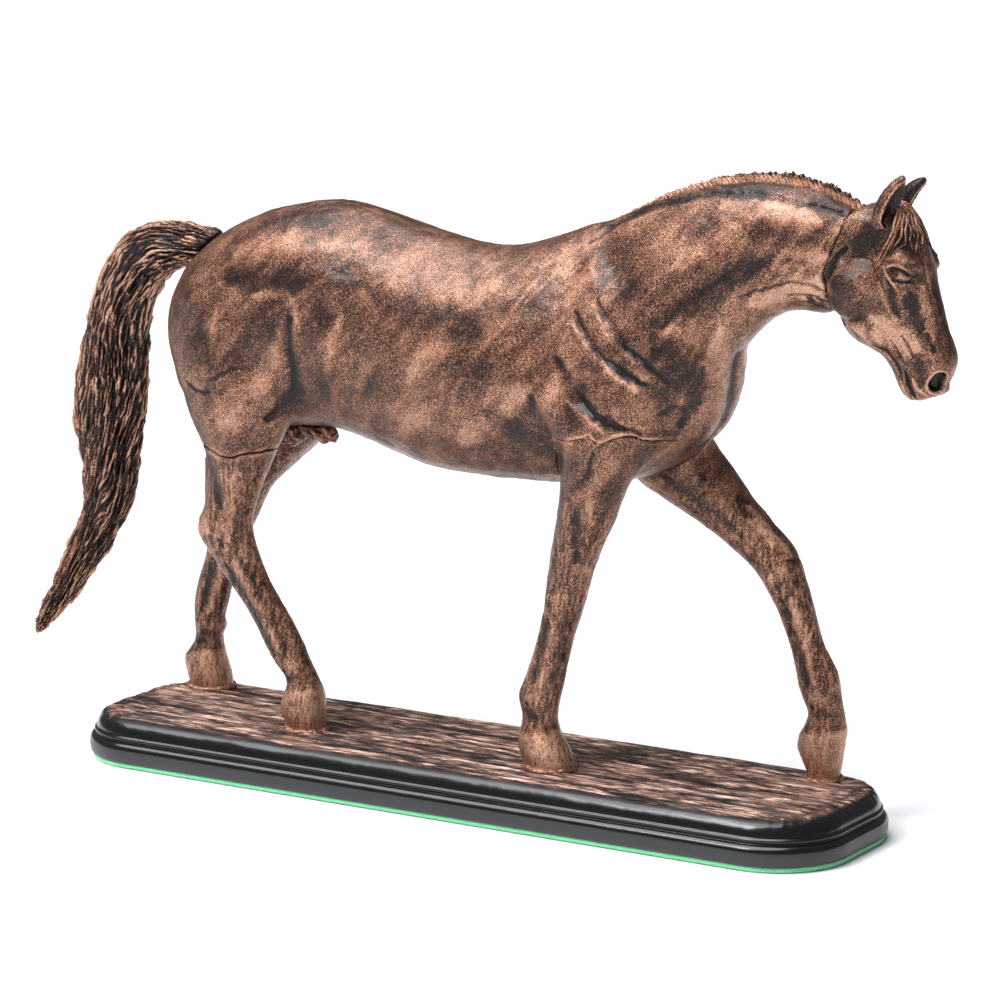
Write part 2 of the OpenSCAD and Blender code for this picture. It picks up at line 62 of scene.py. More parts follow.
# Half the width of the gap that shows at a seam, and how deep the hooves are let into the plinth.
HAIRLINE = 0.05
SUNK = 0.3
# Middle planes of the right legs and of each left leg.
RIGHT, LEFT_FORE, LEFT_HIND = -9, 22, 23
LEGS = ["left_fore_leg", "right_fore_leg", "left_hind_leg", "right_hind_leg"]
RODS = ["left_fore_rod", "right_fore_rod", "left_hind_rod", "right_hind_rod", "neck_dowel"]


# ---- numbers and noise

def smooth(low, high, value):
    """0 below low, 1 above high and a smooth step between."""
    t = np.clip((value - low) / (high - low), 0, 1)
    return t * t * (3 - 2 * t)


def hashed(cells, seed):
    """One number from -1 to 1 for each whole-number cell."""
    c = cells.astype(np.int64).astype(np.uint32)
    h = c[:, 0] * np.uint32(73856093)
    h ^= c[:, 1] * np.uint32(19349663)
    h ^= c[:, 2] * np.uint32(83492791)
    h ^= np.uint32((seed * 2654435761) % 2**32)
    h ^= h >> np.uint32(15)
    h *= np.uint32(2246822519)
    h ^= h >> np.uint32(13)
    h *= np.uint32(3266489917)
    h ^= h >> np.uint32(16)
    return h.astype(np.float64) / 2**31 - 1


def blended(cell, t, value):
    """The sum of value over the eight corners of each cell, weighted by how near t is to each."""
    total = np.zeros(len(cell))
    for corner in np.ndindex(2, 2, 2):
        total += np.where(corner, t, 1 - t).prod(axis=1) * value(cell + corner)
    return total


def noise(points, seed):
    """Smooth noise from -1 to 1 whose waves are about two units long."""
    cell = np.floor(points)
    t = points - cell
    return blended(cell, t * t * (3 - 2 * t), lambda corner: hashed(corner, seed))


def layered(points, seed, layers=3):
    """Noise with finer noise on top of it."""
    return sum(noise(points * 2.03**k + 17.3 * k, seed + k) / 1.8**k for k in range(layers))


def stretched(points, along, length, width, seed, layers=2):
    """Noise in streaks of that length and width, which run along a direction in the XZ plane."""
    run = np.array([along[0], 0, along[1]]) / math.hypot(*along)
    rise = np.array([-run[2], 0, run[0]])
    local = np.stack([points @ run / length, points[:, 1] / width, points @ rise / width], axis=1)
    return layered(local, seed, layers)


# ---- grids of distances

def drawn_mesh(name):
    """The points in drawn millimetres and the triangles of a CAD node."""
    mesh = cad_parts[name].data
    mesh.calc_loop_triangles()
    points = np.zeros(len(mesh.vertices) * 3)
    mesh.vertices.foreach_get("co", points)
    triangles = np.zeros(len(mesh.loop_triangles) * 3, np.int32)
    mesh.loop_triangles.foreach_get("vertices", triangles)
    points = (points.reshape(-1, 3) - MIDDLE) / MM
    kept, index = np.unique(points.round(4), axis=0, return_inverse=True)
    return kept, index.reshape(-1)[triangles].reshape(-1, 3)


class Grid:
    """Signed distances, below zero inside, at points a step apart."""

    def __init__(self, low, high, step):
        self.box = (low, high, step)
        self.step = step
        self.first = np.floor(np.array(low) / step).astype(int)
        self.count = np.ceil(np.array(high) / step).astype(int) - self.first + 1
        self.values = np.zeros(self.count, np.float32)

    def axes(self):
        """The places of the grid's planes along X, Y and Z."""
        return [(f + np.arange(n)) * self.step for f, n in zip(self.first, self.count)]

    def mesh_axes(self):
        """The same places, shaped to be used in sums over the whole grid."""
        return np.meshgrid(*self.axes(), indexing="ij", sparse=True)

    def take_polygons(self, points, triangles, band):
        """Fills the grid with the distances to a closed mesh, as far as band steps away."""
        level = vdb.FloatGrid.createLevelSetFromPolygons(
            points.astype(np.float32),
            triangles=triangles.astype(np.uint32),
            transform=vdb.createLinearTransform(voxelSize=self.step),
            halfWidth=band,
        )
        level.copyToArray(self.values, ijk=tuple(int(i) for i in self.first))
        return self

    def skin(self, value=0.0):
        """The surface at that distance, as points in drawn millimetres and quads that face out."""
        level = vdb.FloatGrid(3 * self.step)
        level.copyFromArray(np.ascontiguousarray(self.values))
        points, quads = level.convertToQuads(value)
        points = (points + self.first) * self.step
        quads = quads.astype(np.int64)
        a, b, c, d = (points[quads[:, k]] for k in range(4))
        size = (a * np.cross(b, c)).sum() + (a * np.cross(c, d)).sum()
        return points, quads if size > 0 else quads[:, ::-1]

    def blurred(self, sigma):
        """The values after a Gaussian blur of sigma millimetres."""
        reach = int(math.ceil(3 * sigma / self.step))
        weights = np.exp(-((np.arange(-reach, reach + 1) * self.step / sigma) ** 2) / 2)
        weights = (weights / weights.sum()).astype(np.float32)
        values = self.values.astype(np.float32)
        for axis in range(3):
            room = [(reach, reach) if k == axis else (0, 0) for k in range(3)]
            padded = np.moveaxis(np.pad(values, room, mode="edge"), axis, 0)
            length = self.count[axis]
            total = sum(w * padded[k:k + length] for k, w in enumerate(weights))
            values = np.moveaxis(total, 0, axis)
        return np.ascontiguousarray(values)

    def finer(self, low, high, step):
        """A finer grid of the same shape, by cubic interpolation."""
        fine = Grid(low, high, step)
        values = self.values
        for axis, places in enumerate(fine.axes()):
            spot = np.clip(places / self.step - self.first[axis], 1, self.count[axis] - 3)
            cell = np.floor(spot).astype(int)
            t = (spot - cell).astype(np.float32)[:, None, None]
            values = np.moveaxis(values, axis, 0)
            weights = (-t + 2 * t**2 - t**3, 2 - 5 * t**2 + 3 * t**3, t + 4 * t**2 - 3 * t**3, t**3 - t**2)
            values = sum(values[cell + k] * (weight / 2) for k, weight in enumerate(weights, -1))
            values = np.moveaxis(values, 0, axis)
        fine.values = np.ascontiguousarray(values, np.float32)
        return fine

    def at(self, points):
        """Distances at loose points."""
        spot = np.clip(points / self.step - self.first, 0, self.count - 1.001)
        cell = spot.astype(int)
        return blended(cell, spot - cell, lambda corner: self.values[tuple(corner.T)])

    def slope(self, points, reach=0.6):
        """Unit directions away from the surface at loose points."""
        out = [self.at(points + reach * axis) - self.at(points - reach * axis) for axis in np.eye(3)]
        out = np.stack(out, axis=1)
        return out / np.maximum(np.linalg.norm(out, axis=1, keepdims=True), 1e-6)


def empty_grid(low, high, step):
    """A grid with nothing in it yet."""
    grid = Grid(low, high, step)
    grid.values += 3
    return grid


def seat(grid, clay, depth):
    """Cuts the horse out of a piece, which is then let in by that depth."""
    inside = clay.finer(*grid.box).values
    grid.values = np.maximum(grid.values, -(inside + depth)).astype(np.float32)


def cad_grid(name, margin, step, band, blur):
    """A blurred grid of a CAD node, and the low and high corners of the node."""
    points, triangles = drawn_mesh(name)
    low, high = points.min(axis=0), points.max(axis=0)
    grid = Grid(low - margin, high + margin, step).take_polygons(points, triangles, band)
    grid.values = grid.blurred(blur).astype(np.float32)
    return grid, low, high


def round_bar(grid, start, end, start_radius, end_radius):
    """Joins a tapered round bar to a grid, within a box round the bar."""
    margin = max(start_radius, end_radius) + 1.5
    start, end = np.array(start, float), np.array(end, float)
    low = np.floor((np.minimum(start, end) - margin) / grid.step).astype(int) - grid.first
    high = np.ceil((np.maximum(start, end) + margin) / grid.step).astype(int) - grid.first + 1
    window = tuple(slice(max(0, a), max(0, b)) for a, b in zip(low, high))
    axes = [axis[part] for axis, part in zip(grid.axes(), window)]
    if min(len(axis) for axis in axes) == 0:
        return
    places = np.stack(np.meshgrid(*axes, indexing="ij"), axis=-1) - start
    way = end - start
    share = np.clip(places @ way / (way @ way), 0, 1)
    gap = np.linalg.norm(places - share[..., None] * way, axis=-1)
    gap -= start_radius + (end_radius - start_radius) * share
    grid.values[window] = np.minimum(grid.values[window], gap)


def horse_clay():
    """The whole horse without hair and ears as one smooth solid, with its seams and rod bores closed."""
    nodes = ["body", "head"] + LEGS + RODS
    meshes = [drawn_mesh(name) for name in nodes]
    step, band, closing = 0.75, 10, 0.5
    margin = 4
    low = np.min([p.min(axis=0) for p, _ in meshes[:6]], axis=0) - margin
    high = np.max([p.max(axis=0) for p, _ in meshes[:6]], axis=0) + margin
    clay = Grid(low, high, step)
    union = np.full(clay.count, np.inf, np.float32)
    for points, triangles in meshes:
        union = np.minimum(union, clay.take_polygons(points, triangles, band).values)
    clay.values = union
    points, quads = clay.skin(closing)
    clay.take_polygons(points, np.concatenate([quads[:, [0, 1, 2]], quads[:, [0, 2, 3]]]), band)
    clay.values += closing
    # The hooves run straight on down, so that blurring doesn't round their lower edges.
    foot = int(round((GROUND + 1.5) / step)) - clay.first[2]
    clay.values[:, :, :foot] = clay.values[:, :, foot:foot + 1]
    x, y, z = clay.mesh_axes()
    broad = smooth(104, 120, z) * smooth(116, 104, x)
    clay.values = clay.blurred(0.8) * (1 - broad) + clay.blurred(2.0) * broad
    return clay


# ---- working the surface

def nearest(places, line):
    """How far places are from a line, how far along it they lie, and beside which of its stretches."""
    lengths = np.linalg.norm(np.diff(line, axis=0), axis=1)
    done = np.concatenate([[0], np.cumsum(lengths)])
    gap, run = np.full(len(places), np.inf), np.zeros(len(places))
    stretch = np.zeros(len(places), int)
    for k, length in enumerate(lengths):
        way = (line[k + 1] - line[k]) / length
        t = np.clip((places - line[k]) @ way, 0, length)
        here = np.linalg.norm(places - line[k] - t[:, None] * way, axis=1)
        nearer = here < gap
        gap = np.where(nearer, here, gap)
        run = np.where(nearer, done[k] + t, run)
        stretch = np.where(nearer, k, stretch)
    return gap, run, stretch


class Skin:
    """The surface of one piece while it is worked.

    lift is how far each point moves out, and tone how coppery it is, with painted highlight and painted
    shade in a few places: below 0 is darker."""

    def __init__(self, grid, shape, reach=0.6, wobble=0):
        """The surface of a grid, which is lifted away from a shape, as seen over that reach."""
        points, self.quads = grid.skin()
        self.points, self.out = points, shape.slope(points, reach)
        self.lift = np.zeros(len(points))
        self.tone = np.zeros(len(points))
        shift = [layered(points / 2.4, 40 + k, 2) for k in range(3)]
        self.drawn = points + wobble * np.stack(shift, axis=1)
        self.ragged = stretched(points, (1, 1.2), 6, 1.3, 52)
        self.sideways = self.out[:, 1] * np.sign(points[:, 1] - CENTRE)
        self.flank = smooth(-0.05, 0.3, self.sideways)
        self.brush(1, 1, 1)

    def brush(self, width, depth, shade):
        """Sets how wide, deep and dark the next strokes are, compared with the numbers they are given."""
        self.width, self.depth, self.shade = width, depth, shade

    def nearness(self, line, radius, flat, taper):
        """1 on a line and 0 well away from it. A flat line is drawn on the XZ plane.

        The ends of the line taper off over that share of its length."""
        place = self.drawn[:, [0, 2] if flat else [0, 1, 2]]
        line = np.array(line, float)
        radius = radius * self.width
        reach = 2.6 * radius
        inside = (place > line.min(axis=0) - reach) & (place < line.max(axis=0) + reach)
        index = np.flatnonzero(inside.all(axis=1))
        weight = np.zeros(len(self.points))
        gap, run, _ = nearest(place[index], line)
        if taper:
            share = run / np.linalg.norm(np.diff(line, axis=0), axis=1).sum()
            radius = radius * (0.35 + 0.65 * np.minimum(1, np.minimum(share, 1 - share) / taper))
        weight[index] = np.exp(-(gap / radius) ** 2)
        return weight

    def stroke(self, line, radius, lift, tone, lip=0.0, taper=0.25):
        """Raises or cuts both flanks along a line in the XZ plane."""
        self.apply(self.nearness(line, radius, True, taper) * self.flank, lift, tone, lip)

    def patch(self, line, radius, tone):
        """Rubs or darkens the flanks along a line in the XZ plane, with edges ragged by the brush. A few
        patches are partly painted highlight and painted shade.
        """
        weight = self.nearness(line, radius, True, 0.15) * self.flank
        weight = smooth(0.05, 0.95, weight + 0.3 * self.ragged * smooth(0.0, 0.3, weight))
        self.tone += 0.8 * self.shade * tone * weight

    def limb(self, y, line, radius, lift, tone):
        """Works both faces of the leg whose middle plane is at y."""
        weight = self.nearness(line, radius, True, 0.25) * (np.abs(self.points[:, 1] - y) < 14)
        self.apply(weight * smooth(0.15, 0.5, np.abs(self.out[:, 1])), lift, tone)

    def both(self, line, radius):
        """Nearness to a line in space or to its mirror image."""
        other = [(x, 2 * CENTRE - y, z) for x, y, z in line]
        return np.maximum(self.nearness(line, radius, False, 0), self.nearness(other, radius, False, 0))

    def mark(self, line, radius, lift, tone):
        """Works the surface along a line in space, and along its mirror image."""
        self.apply(self.both(line, radius), lift, tone)

    def apply(self, weight, lift, tone, lip=0.0):
        """Adds lift and tone by weight, and to the rim just outside it as much as lip says."""
        rim = lip * weight * (1 - weight) * 4 * (weight < 0.5)
        self.lift += (lift * weight + rim) * self.depth
        self.tone += (tone * weight + rim) * self.shade

    def moved(self):
        """The points after the lift."""
        return self.points + self.out * self.lift[:, None]


def placed(name, data):
    """A new object in the scene."""
    piece = bpy.data.objects.new(name, data)
    bpy.context.scene.collection.objects.link(piece)
    return piece


def relaxed(points, quads, rounds):
    """The points after that many rounds of moving each to the middle of its neighbours."""
    a, b = quads.ravel(), np.roll(quads, -1, axis=1).ravel()
    n = len(points)
    count = np.bincount(a, minlength=n) + np.bincount(b, minlength=n)
    for _ in range(rounds):
        points = np.stack([
            (np.bincount(a, points[b, k], n) + np.bincount(b, points[a, k], n)) / count for k in range(3)
        ], axis=1)
    return points


def build(name, points, quads, slot, tone, relief):
    """A closed mesh object in place of a CAD node, with its tone and relief for the material."""
    mesh = bpy.data.meshes.new(name)
    mesh.vertices.add(len(points))
    mesh.vertices.foreach_set("co", (points * MM + MIDDLE).ravel())
    mesh.loops.add(quads.size)
    mesh.loops.foreach_set("vertex_index", quads.ravel())
    mesh.polygons.add(len(quads))
    mesh.polygons.foreach_set("loop_start", np.arange(0, quads.size, quads.shape[1]))
    mesh.update(calc_edges=True)
    for title, values in (("tone", tone), ("relief", relief)):
        mesh.attributes.new(title, "FLOAT", "POINT").data.foreach_set("value", values.astype(np.float32))
    mesh.shade_smooth()
    mesh.set_sharp_from_angle(angle=math.radians(62))
    mesh.materials.append(LOOKS[slot])
    piece = placed(name, mesh)
    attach(piece, "root")
    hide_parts(name)
    return piece


def finish_skin(name, skin, slot, fine=8):
    """Moves the worked points and makes the piece. Relief is how far a point stands proud of the
    surface smoothed by that many rounds."""
    points = skin.moved()
    relief = ((points - relaxed(points, skin.quads, fine)) * skin.out).sum(axis=1)
    build(name, points, skin.quads, slot, skin.tone, relief)


# ---- features of the horse

# Strokes on both flanks: line in XZ, radius, lift, tone and, on some, a raised lip.
MUSCLES = [
    ([(-86, 142), (-76, 124)], 9, 0.9, 0.0),
    ([(-80, 163), (-56, 167)], 8, 0.7, 0.0),
    ([(-44, 160), (-43, 154)], 8, 0.4, 0.0),
    ([(58, 140), (45, 168)], 8, 1.1, 0.0),
    ([(50, 137), (60, 129)], 7, 0.9, 0.0),
    ([(80, 146), (78, 132)], 6, 0.8, 0.0),
    ([(-20, 112), (20, 108)], 9, 0.5, 0.0),
    ([(96, 186), (118, 186)], 5, 0.6, 0.0),
]
TRUNK_STROKES = [
    # croup, hip, flank and thigh
    ([(-57, 147), (-57, 138), (-56, 130), (-57, 123), (-61, 118), (-66, 114)], 2.6, -1.3, -0.9),
    ([(-57, 140), (-56.4, 130), (-57.6, 122)], 1.0, -0.4, -0.8),
    ([(-62, 136), (-60, 124)], 4.0, 0.5, 0.2),
    ([(-86, 125), (-81, 127), (-77, 129), (-72, 130)], 0.6, -0.35, -0.8, 0.1),
    ([(-96, 123), (-92, 121.4), (-88, 121), (-85, 122)], 0.9, -0.6, -0.8, 0.2),
    ([(-79, 164), (-70, 168), (-59, 170), (-49, 169)], 5.0, 0.3, 0.2),
    # Hollow along the dark band across the rump; its darkening is partly painted shade.
    ([(-82, 155), (-72, 157), (-60, 157), (-50, 158)], 4.2, -0.6, -0.2),
    ([(-70, 152.5), (-60, 154), (-55, 151.5), (-54, 146)], 1.8, 0.45, 0.3),
    ([(-46, 152), (-45.6, 146)], 2.8, -0.5, -0.3),
    ([(-74, 118), (-66, 126)], 5.0, 0.3, 0.0),
    # back, barrel and belly
    ([(21, 155), (25, 160), (28, 165)], 0.5, 0.2, 0.7),
    ([(24, 155), (28, 160), (32, 165)], 0.5, 0.2, 0.6),
    ([(-22, 122), (-15, 131), (-9, 141)], 2.0, 0.3, 0.0),
    ([(-30, 124), (-24, 136), (-17, 146)], 3.0, -0.3, -0.2),
    ([(15, 105), (26, 118), (32, 112)], 5.0, -0.2, 0.0),
    # shoulder, elbow and girth
    ([(43, 156), (48, 149), (54, 143.4), (62, 139.6), (69, 136)], 2.0, -0.9, -0.4),
    ([(55, 143), (62, 139.4), (68.4, 136.6)], 1.1, -0.8, -1.3, 0.15),
    ([(43, 152), (50, 144.6), (58, 138.6), (66, 134.6)], 1.5, 0.5, 0.3),
    ([(50, 159), (56, 152), (63, 146), (70, 141), (75, 138)], 2.0, -0.8, -0.4),
    ([(60, 148), (66, 143.6), (73, 139.4)], 0.9, -0.6, -1.0, 0.15),
    ([(51, 154.6), (57, 148.6), (64, 143)], 1.5, 0.5, 0.3),
    ([(39, 142), (44, 135), (50, 129), (57, 125), (66, 121.6)], 2.6, -1.2, -0.4),
    ([(47, 131.6), (52, 127.6), (58, 124.6), (63, 122.8)], 1.4, -0.9, -1.3, 0.15),
    ([(44, 129.6), (50, 125), (57, 121.6)], 1.4, 0.5, 0.3),
    ([(71, 127.4), (76.4, 130.2)], 0.8, -0.5, -0.8, 0.1),
    ([(31, 130), (33, 122), (35, 117), (37, 112), (36, 104)], 2.8, -1.2, -0.6),
    # neck and throat
    ([(72, 154), (81, 164), (87, 168), (94, 173), (104, 174.4), (114, 175)], 2.8, -0.7, -0.5),
    ([(96, 161), (108, 165), (119, 164)], 3.0, 0.4, 0.0),
    ([(93, 163.4), (103, 166.8), (110, 168.8), (117, 168), (122, 165.4)], 0.6, -0.5, -0.9, 0.2),
    ([(108, 164.4), (112, 165.4), (117, 165.2), (121, 162.6)], 0.5, -0.5, -0.9, 0.2),
    ([(112, 163.2), (116, 162.6), (120, 160.6)], 0.5, -0.4, -0.7, 0.1),
    ([(114, 164.4), (116.4, 163.4)], 0.9, -0.8, -1.2),
    ([(88, 156), (85.6, 146), (85, 138), (82, 129), (75, 120)], 1.8, 0.6, 0.3),
    ([(83, 142), (83, 136), (80, 129), (76, 124)], 1.6, -0.8, -0.6),
    ([(41, 175), (50, 182), (63, 188), (78, 192), (97, 193), (120, 190), (126, 188.6)], 1.1, -0.7, -0.7),
]
# Places rubbed bright or left dark, a few of them partly painted highlight and painted shade: line in XZ,
# radius and tone.
TRUNK_PATCHES = [
    # hindquarters
    # Dark band across the rump below its lit top: dark patina, partly painted shade.
    ([(-83, 158), (-69, 157), (-54, 157), (-44, 160), (-30, 158)], 3.6, -1.2),
    ([(-97, 150), (-92, 138), (-85, 130)], 5.0, -1.0),
    ([(-84, 147), (-85, 133)], 1.3, 1.0),
    ([(-71, 152), (-59, 154), (-55, 150), (-53, 143)], 1.6, 0.9),
    ([(-78, 140), (-70, 143), (-62, 140)], 4.5, -0.6),
    ([(-83, 120), (-76, 110)], 5.0, 0.9),
    ([(-72, 124), (-64, 128)], 4.0, 0.6),
    ([(-56, 120), (-44, 125)], 4.0, -0.8),
    # Copper band along the top of the rump: rubbed copper, partly painted highlight.
    ([(-64, 168), (-46, 172), (-30, 168)], 4.0, 0.5),
    ([(-84, 168), (-72, 174), (-50, 177), (-30, 172)], 4.0, -1.0),
    # barrel
    ([(-38, 149), (-41, 140), (-44, 131)], 1.8, 1.1),
    ([(-32, 166), (-14, 163), (4, 159), (20, 160)], 5.0, 0.7),
    # Dark band under the lit upper barrel: dark patina, partly painted shade.
    ([(-28, 157), (-6, 151), (12, 147)], 4.4, -0.9),
    ([(1, 150), (-5, 141), (-12, 131)], 3.0, 0.9),
    ([(-20, 140), (-27, 130)], 2.6, 0.5),
    ([(30, 133), (19, 124), (5, 113)], 4.2, 1.3),
    ([(15, 124), (27, 119), (37, 110)], 3.6, -1.2),
    ([(6, 138), (18, 138)], 3.6, -0.7),
    ([(-34, 112), (-16, 108)], 4.4, -0.4),
    ([(-20, 122), (-6, 118)], 3.4, 0.6),
    # shoulder and breast
    ([(46, 147), (43, 138), (38, 130)], 4.2, 0.9),
    # Bright bands on the withers edge and the upper shoulder: rubbed copper, partly painted highlight.
    ([(45, 178), (39, 173), (33, 167)], 4.2, 1.3),
    ([(36, 158), (46, 166)], 5.5, 1.0),
    ([(78, 154), (69, 148)], 2.0, 1.2),
    ([(70, 150), (77, 143), (80, 135)], 5.0, -1.8),
    ([(89, 154), (86, 146), (83, 138)], 2.0, 1.2),
    ([(60, 132), (70, 128)], 3.6, 0.2),
    ([(56, 166), (64, 161), (70, 154)], 4.6, -0.6),
    # neck
    ([(93, 184), (82, 177), (73, 171)], 3.4, 1.2),
    ([(101, 174), (90, 167), (78, 158)], 3.4, -1.4),
    ([(97, 182), (104, 183)], 2.6, -0.8),
    ([(124, 168), (109, 167), (97, 161)], 4.0, 2.2),
    ([(122, 176), (112, 176.6), (104, 173)], 3.0, 1.6),
    # Bright band along the upper neck: rubbed copper, partly painted highlight.
    ([(86, 189), (102, 190.4), (118, 186)], 3.0, 1.0),
    ([(52, 184.6), (71, 191.4), (88, 194.4)], 1.8, -0.8),
    ([(84, 195), (107, 195.4), (117, 193), (126, 189.6)], 3.0, -1.7),
]
# Spine and breast: lines in space on the right, and the same on the left.
TRUNK_MARKS = [
    ([(-74, 3, 177), (-52, 3.6, 181.4), (-37, 3.8, 179.6), (-24, 3.8, 176.6)], 0.9, 0.3, 0.2),
    ([(-74, 6, 178.4), (-52, 6, 181.8), (-37, 6, 180), (-20, 6, 176)], 1.6, -0.5, -0.2),
    ([(88, 6, 144), (86, 6, 132), (82, 6, 121), (76, 6, 113)], 2.2, -1.4, -0.9),
]
HEAD_STROKES = [
    # cheek and the gap behind the jaw
    ([(130, 161), (133, 170), (130, 176)], 7.5, 0.5, 0.0),
    ([(128, 157), (133, 154.6), (138, 153)], 3.6, 1.3, 0.0),
    ([(127, 180), (123, 175.4), (120.6, 170), (121.4, 163), (124.4, 157)], 1.3, -1.0, -1.0),
    ([(124.6, 163), (127, 159.4), (130.6, 156.4), (136, 151.4)], 0.7, 0.2, 0.9),
    # facial crest and the nose
    ([(141, 169), (142, 165), (143.6, 161)], 1.2, -0.5, -0.6),
    ([(138.6, 171), (140, 165), (142.4, 160)], 0.8, 0.3, 0.4),
    ([(147, 168), (148.4, 162), (149.6, 157)], 1.8, -0.3, -0.5),
    # creases of the muzzle
    ([(144, 155.4), (146, 152.6), (147.6, 149.4)], 0.6, -0.3, -1.1),
    ([(140.6, 153.8), (142.6, 150.6), (144.4, 147.6)], 0.55, -0.25, -0.9),
    ([(151.4, 156.6), (152.8, 153.6), (153.8, 151)], 0.7, -0.25, -0.9),
    ([(134.8, 152.6), (139.2, 150), (142.4, 145.8), (143.4, 142.6)], 0.6, -0.3, -1.1),
    ([(136, 151), (140.4, 147.6), (142.6, 143.6)], 0.6, 0.2, 0.8),
    # mouth, with its lips and the chin
    ([(144.8, 145), (145.9, 141.4), (147, 138.4), (147.8, 135.8)], 0.85, -1.3, -2.4, 0.2),
    ([(143.2, 142), (144.4, 139), (145.8, 136.4)], 0.6, 0.4, 1.0),
    ([(147.4, 143.4), (148.6, 140.6), (151, 138.8)], 0.7, 0.4, 1.1),
]
HEAD_PATCHES = [
    ([(130, 172), (127, 165), (131, 160)], 6.5, -0.9),
    ([(136, 188), (134, 182), (130, 178)], 2.8, -1.5),
    ([(141, 189), (139.6, 183), (137, 179)], 3.0, -1.0),
    ([(126, 185), (131, 189)], 3.0, 0.6),
    ([(146.6, 168), (147, 163)], 2.0, -1.2),
    ([(136, 160), (142, 155), (149, 152)], 4.6, 2.0),
    ([(149.4, 170), (151, 162), (153, 154)], 1.6, 1.3),
    ([(133, 155), (130, 159)], 1.6, 1.0),
    ([(149.2, 149), (150.6, 144.6), (150, 141)], 1.8, -1.0),
    ([(143, 183), (147, 178), (149, 172)], 2.4, -0.7),
]


# Ball, lids and folds of the eye: line, radius, lift, tone, lip and taper of the ends.
EYE_STROKES = [
    ([(142, 173.6), (144.4, 173), (146.6, 172.3)], 1.7, -0.6, -0.8, 0, 0),
    ([(144.2, 172.9), (145.4, 172.6)], 1.25, 1.3, 1.1, 0, 0),
    ([(141.4, 174.4), (143.2, 174.7), (145.2, 174.3), (146.4, 173.4)], 0.4, -0.4, -1.6, 0, 0),
    ([(140, 175.2), (141.8, 176), (144, 176), (146.4, 175.2), (148, 173.6)], 0.55, 0.7, 0.4),
    ([(142, 171.8), (144.4, 171.1), (146.4, 171.4)], 0.36, -0.3, -0.9, 0, 0),
    ([(141.4, 171), (144.2, 170.1), (147.2, 170.6)], 0.42, 0.35, 0.3),
    ([(139.2, 175.4), (140.2, 173.2), (141.8, 170.8), (143.6, 168.4)], 0.42, 0.35, 0.8),
    ([(140.4, 171.6), (141.8, 169.2), (142.6, 166.6)], 0.6, -0.3, -0.9),
    ([(140.4, 177.8), (144, 178.6), (148, 177.2)], 1.2, 0.5, 0.2),
]
# Edges and middle of the nose: lines in space. The bright line on each edge is rubbed copper and partly a
# painted highlight.
NOSE_MARKS = [
    ([(149, 3, 177), (151.4, 3, 170), (154.4, 3.4, 161), (157.8, 3.2, 152)], 0.5, 0.35, 0.6),
    ([(151.6, 6, 176), (154, 6, 166), (157, 6, 158)], 1.8, -0.3, -0.8),
]
# Strokes on the legs: leg's middle plane, line in XZ, radius, lift and tone.
LEG_STROKES = [
    # right fore leg
    (RIGHT, [(53, 115), (49, 103), (46, 91), (44, 80)], 1.5, -0.7, -1.0),
    (RIGHT, [(45, 84), (45, 82)], 1.0, -0.3, -0.9),
    (RIGHT, [(43, 101), (43, 99)], 1.0, -0.3, -0.8),
    (RIGHT, [(50, 106), (48, 94)], 2.6, 0.2, 1.0),
    (RIGHT, [(40, 112), (38, 98)], 2.4, 0.0, -0.8),
    # left fore leg, whose inner face shows
    (LEFT_FORE, [(71.4, 105.6), (72.6, 104.6)], 1.3, -0.3, -1.8),
    (LEFT_FORE, [(60, 104), (72, 97), (84, 88)], 2.2, -0.4, -0.8),
    (LEFT_FORE, [(82, 99), (87, 93)], 1.6, -0.3, -1.2),
    # Bright ridge on the front edge of the knee: rubbed copper, partly painted highlight.
    (LEFT_FORE, [(85, 96), (92, 89), (99, 83.4)], 1.8, 0.4, 1.6),
    (LEFT_FORE, [(97.6, 81.4), (101, 81)], 0.4, -0.4, -1.0),
    # hind legs
    (RIGHT, [(-89, 100), (-86.6, 92), (-84.6, 84)], 1.6, -0.5, -1.2),
    (RIGHT, [(-92, 98), (-93, 86), (-94, 79)], 1.4, 0.4, 1.0),
    (RIGHT, [(-76, 100), (-80, 88), (-81, 80)], 2.4, 0.3, 0.5),
    (RIGHT, [(-95, 79), (-90, 76)], 3.4, 0.3, 1.8),
    (RIGHT, [(-86, 74), (-84, 71)], 0.9, -0.5, -1.2),
    (LEFT_HIND, [(-88, 98), (-96, 88), (-103, 80)], 2.2, -0.5, -0.9),
    (LEFT_HIND, [(-110, 78), (-107, 74)], 3.0, 0.3, 1.0),
]


def nostril(skin):
    """Deep oval nostrils with a thin raised rim."""
    hole = skin.both([(154.2, 2.2, 141.6), (155.8, 1.8, 143.2)], 2.9)
    skin.apply(smooth(0.46, 0.7, hole), -2.4, -4.0)
    skin.apply(np.exp(-((hole - 0.38) / 0.05) ** 2), 0.25, 0.7)


def work_head(skin):
    """Every feature of the head."""
    skin.brush(1, 0.9, 1.25)
    for row in HEAD_STROKES:
        skin.stroke(*row)
    for row in HEAD_PATCHES:
        skin.patch(*row)
    for row in EYE_STROKES:
        skin.stroke(*row)
    nostril(skin)
    for row in NOSE_MARKS:
        skin.mark(*row)


def work_trunk(skin):
    """Every feature of the body and neck."""
    skin.brush(1, 1, 1)
    for row in MUSCLES:
        skin.stroke(*row)
    skin.brush(1.1, 0.7, 0.85)
    for row in TRUNK_STROKES:
        skin.stroke(*row)
    for row in TRUNK_PATCHES:
        skin.patch(*row)
    for row in TRUNK_MARKS:
        skin.mark(*row)


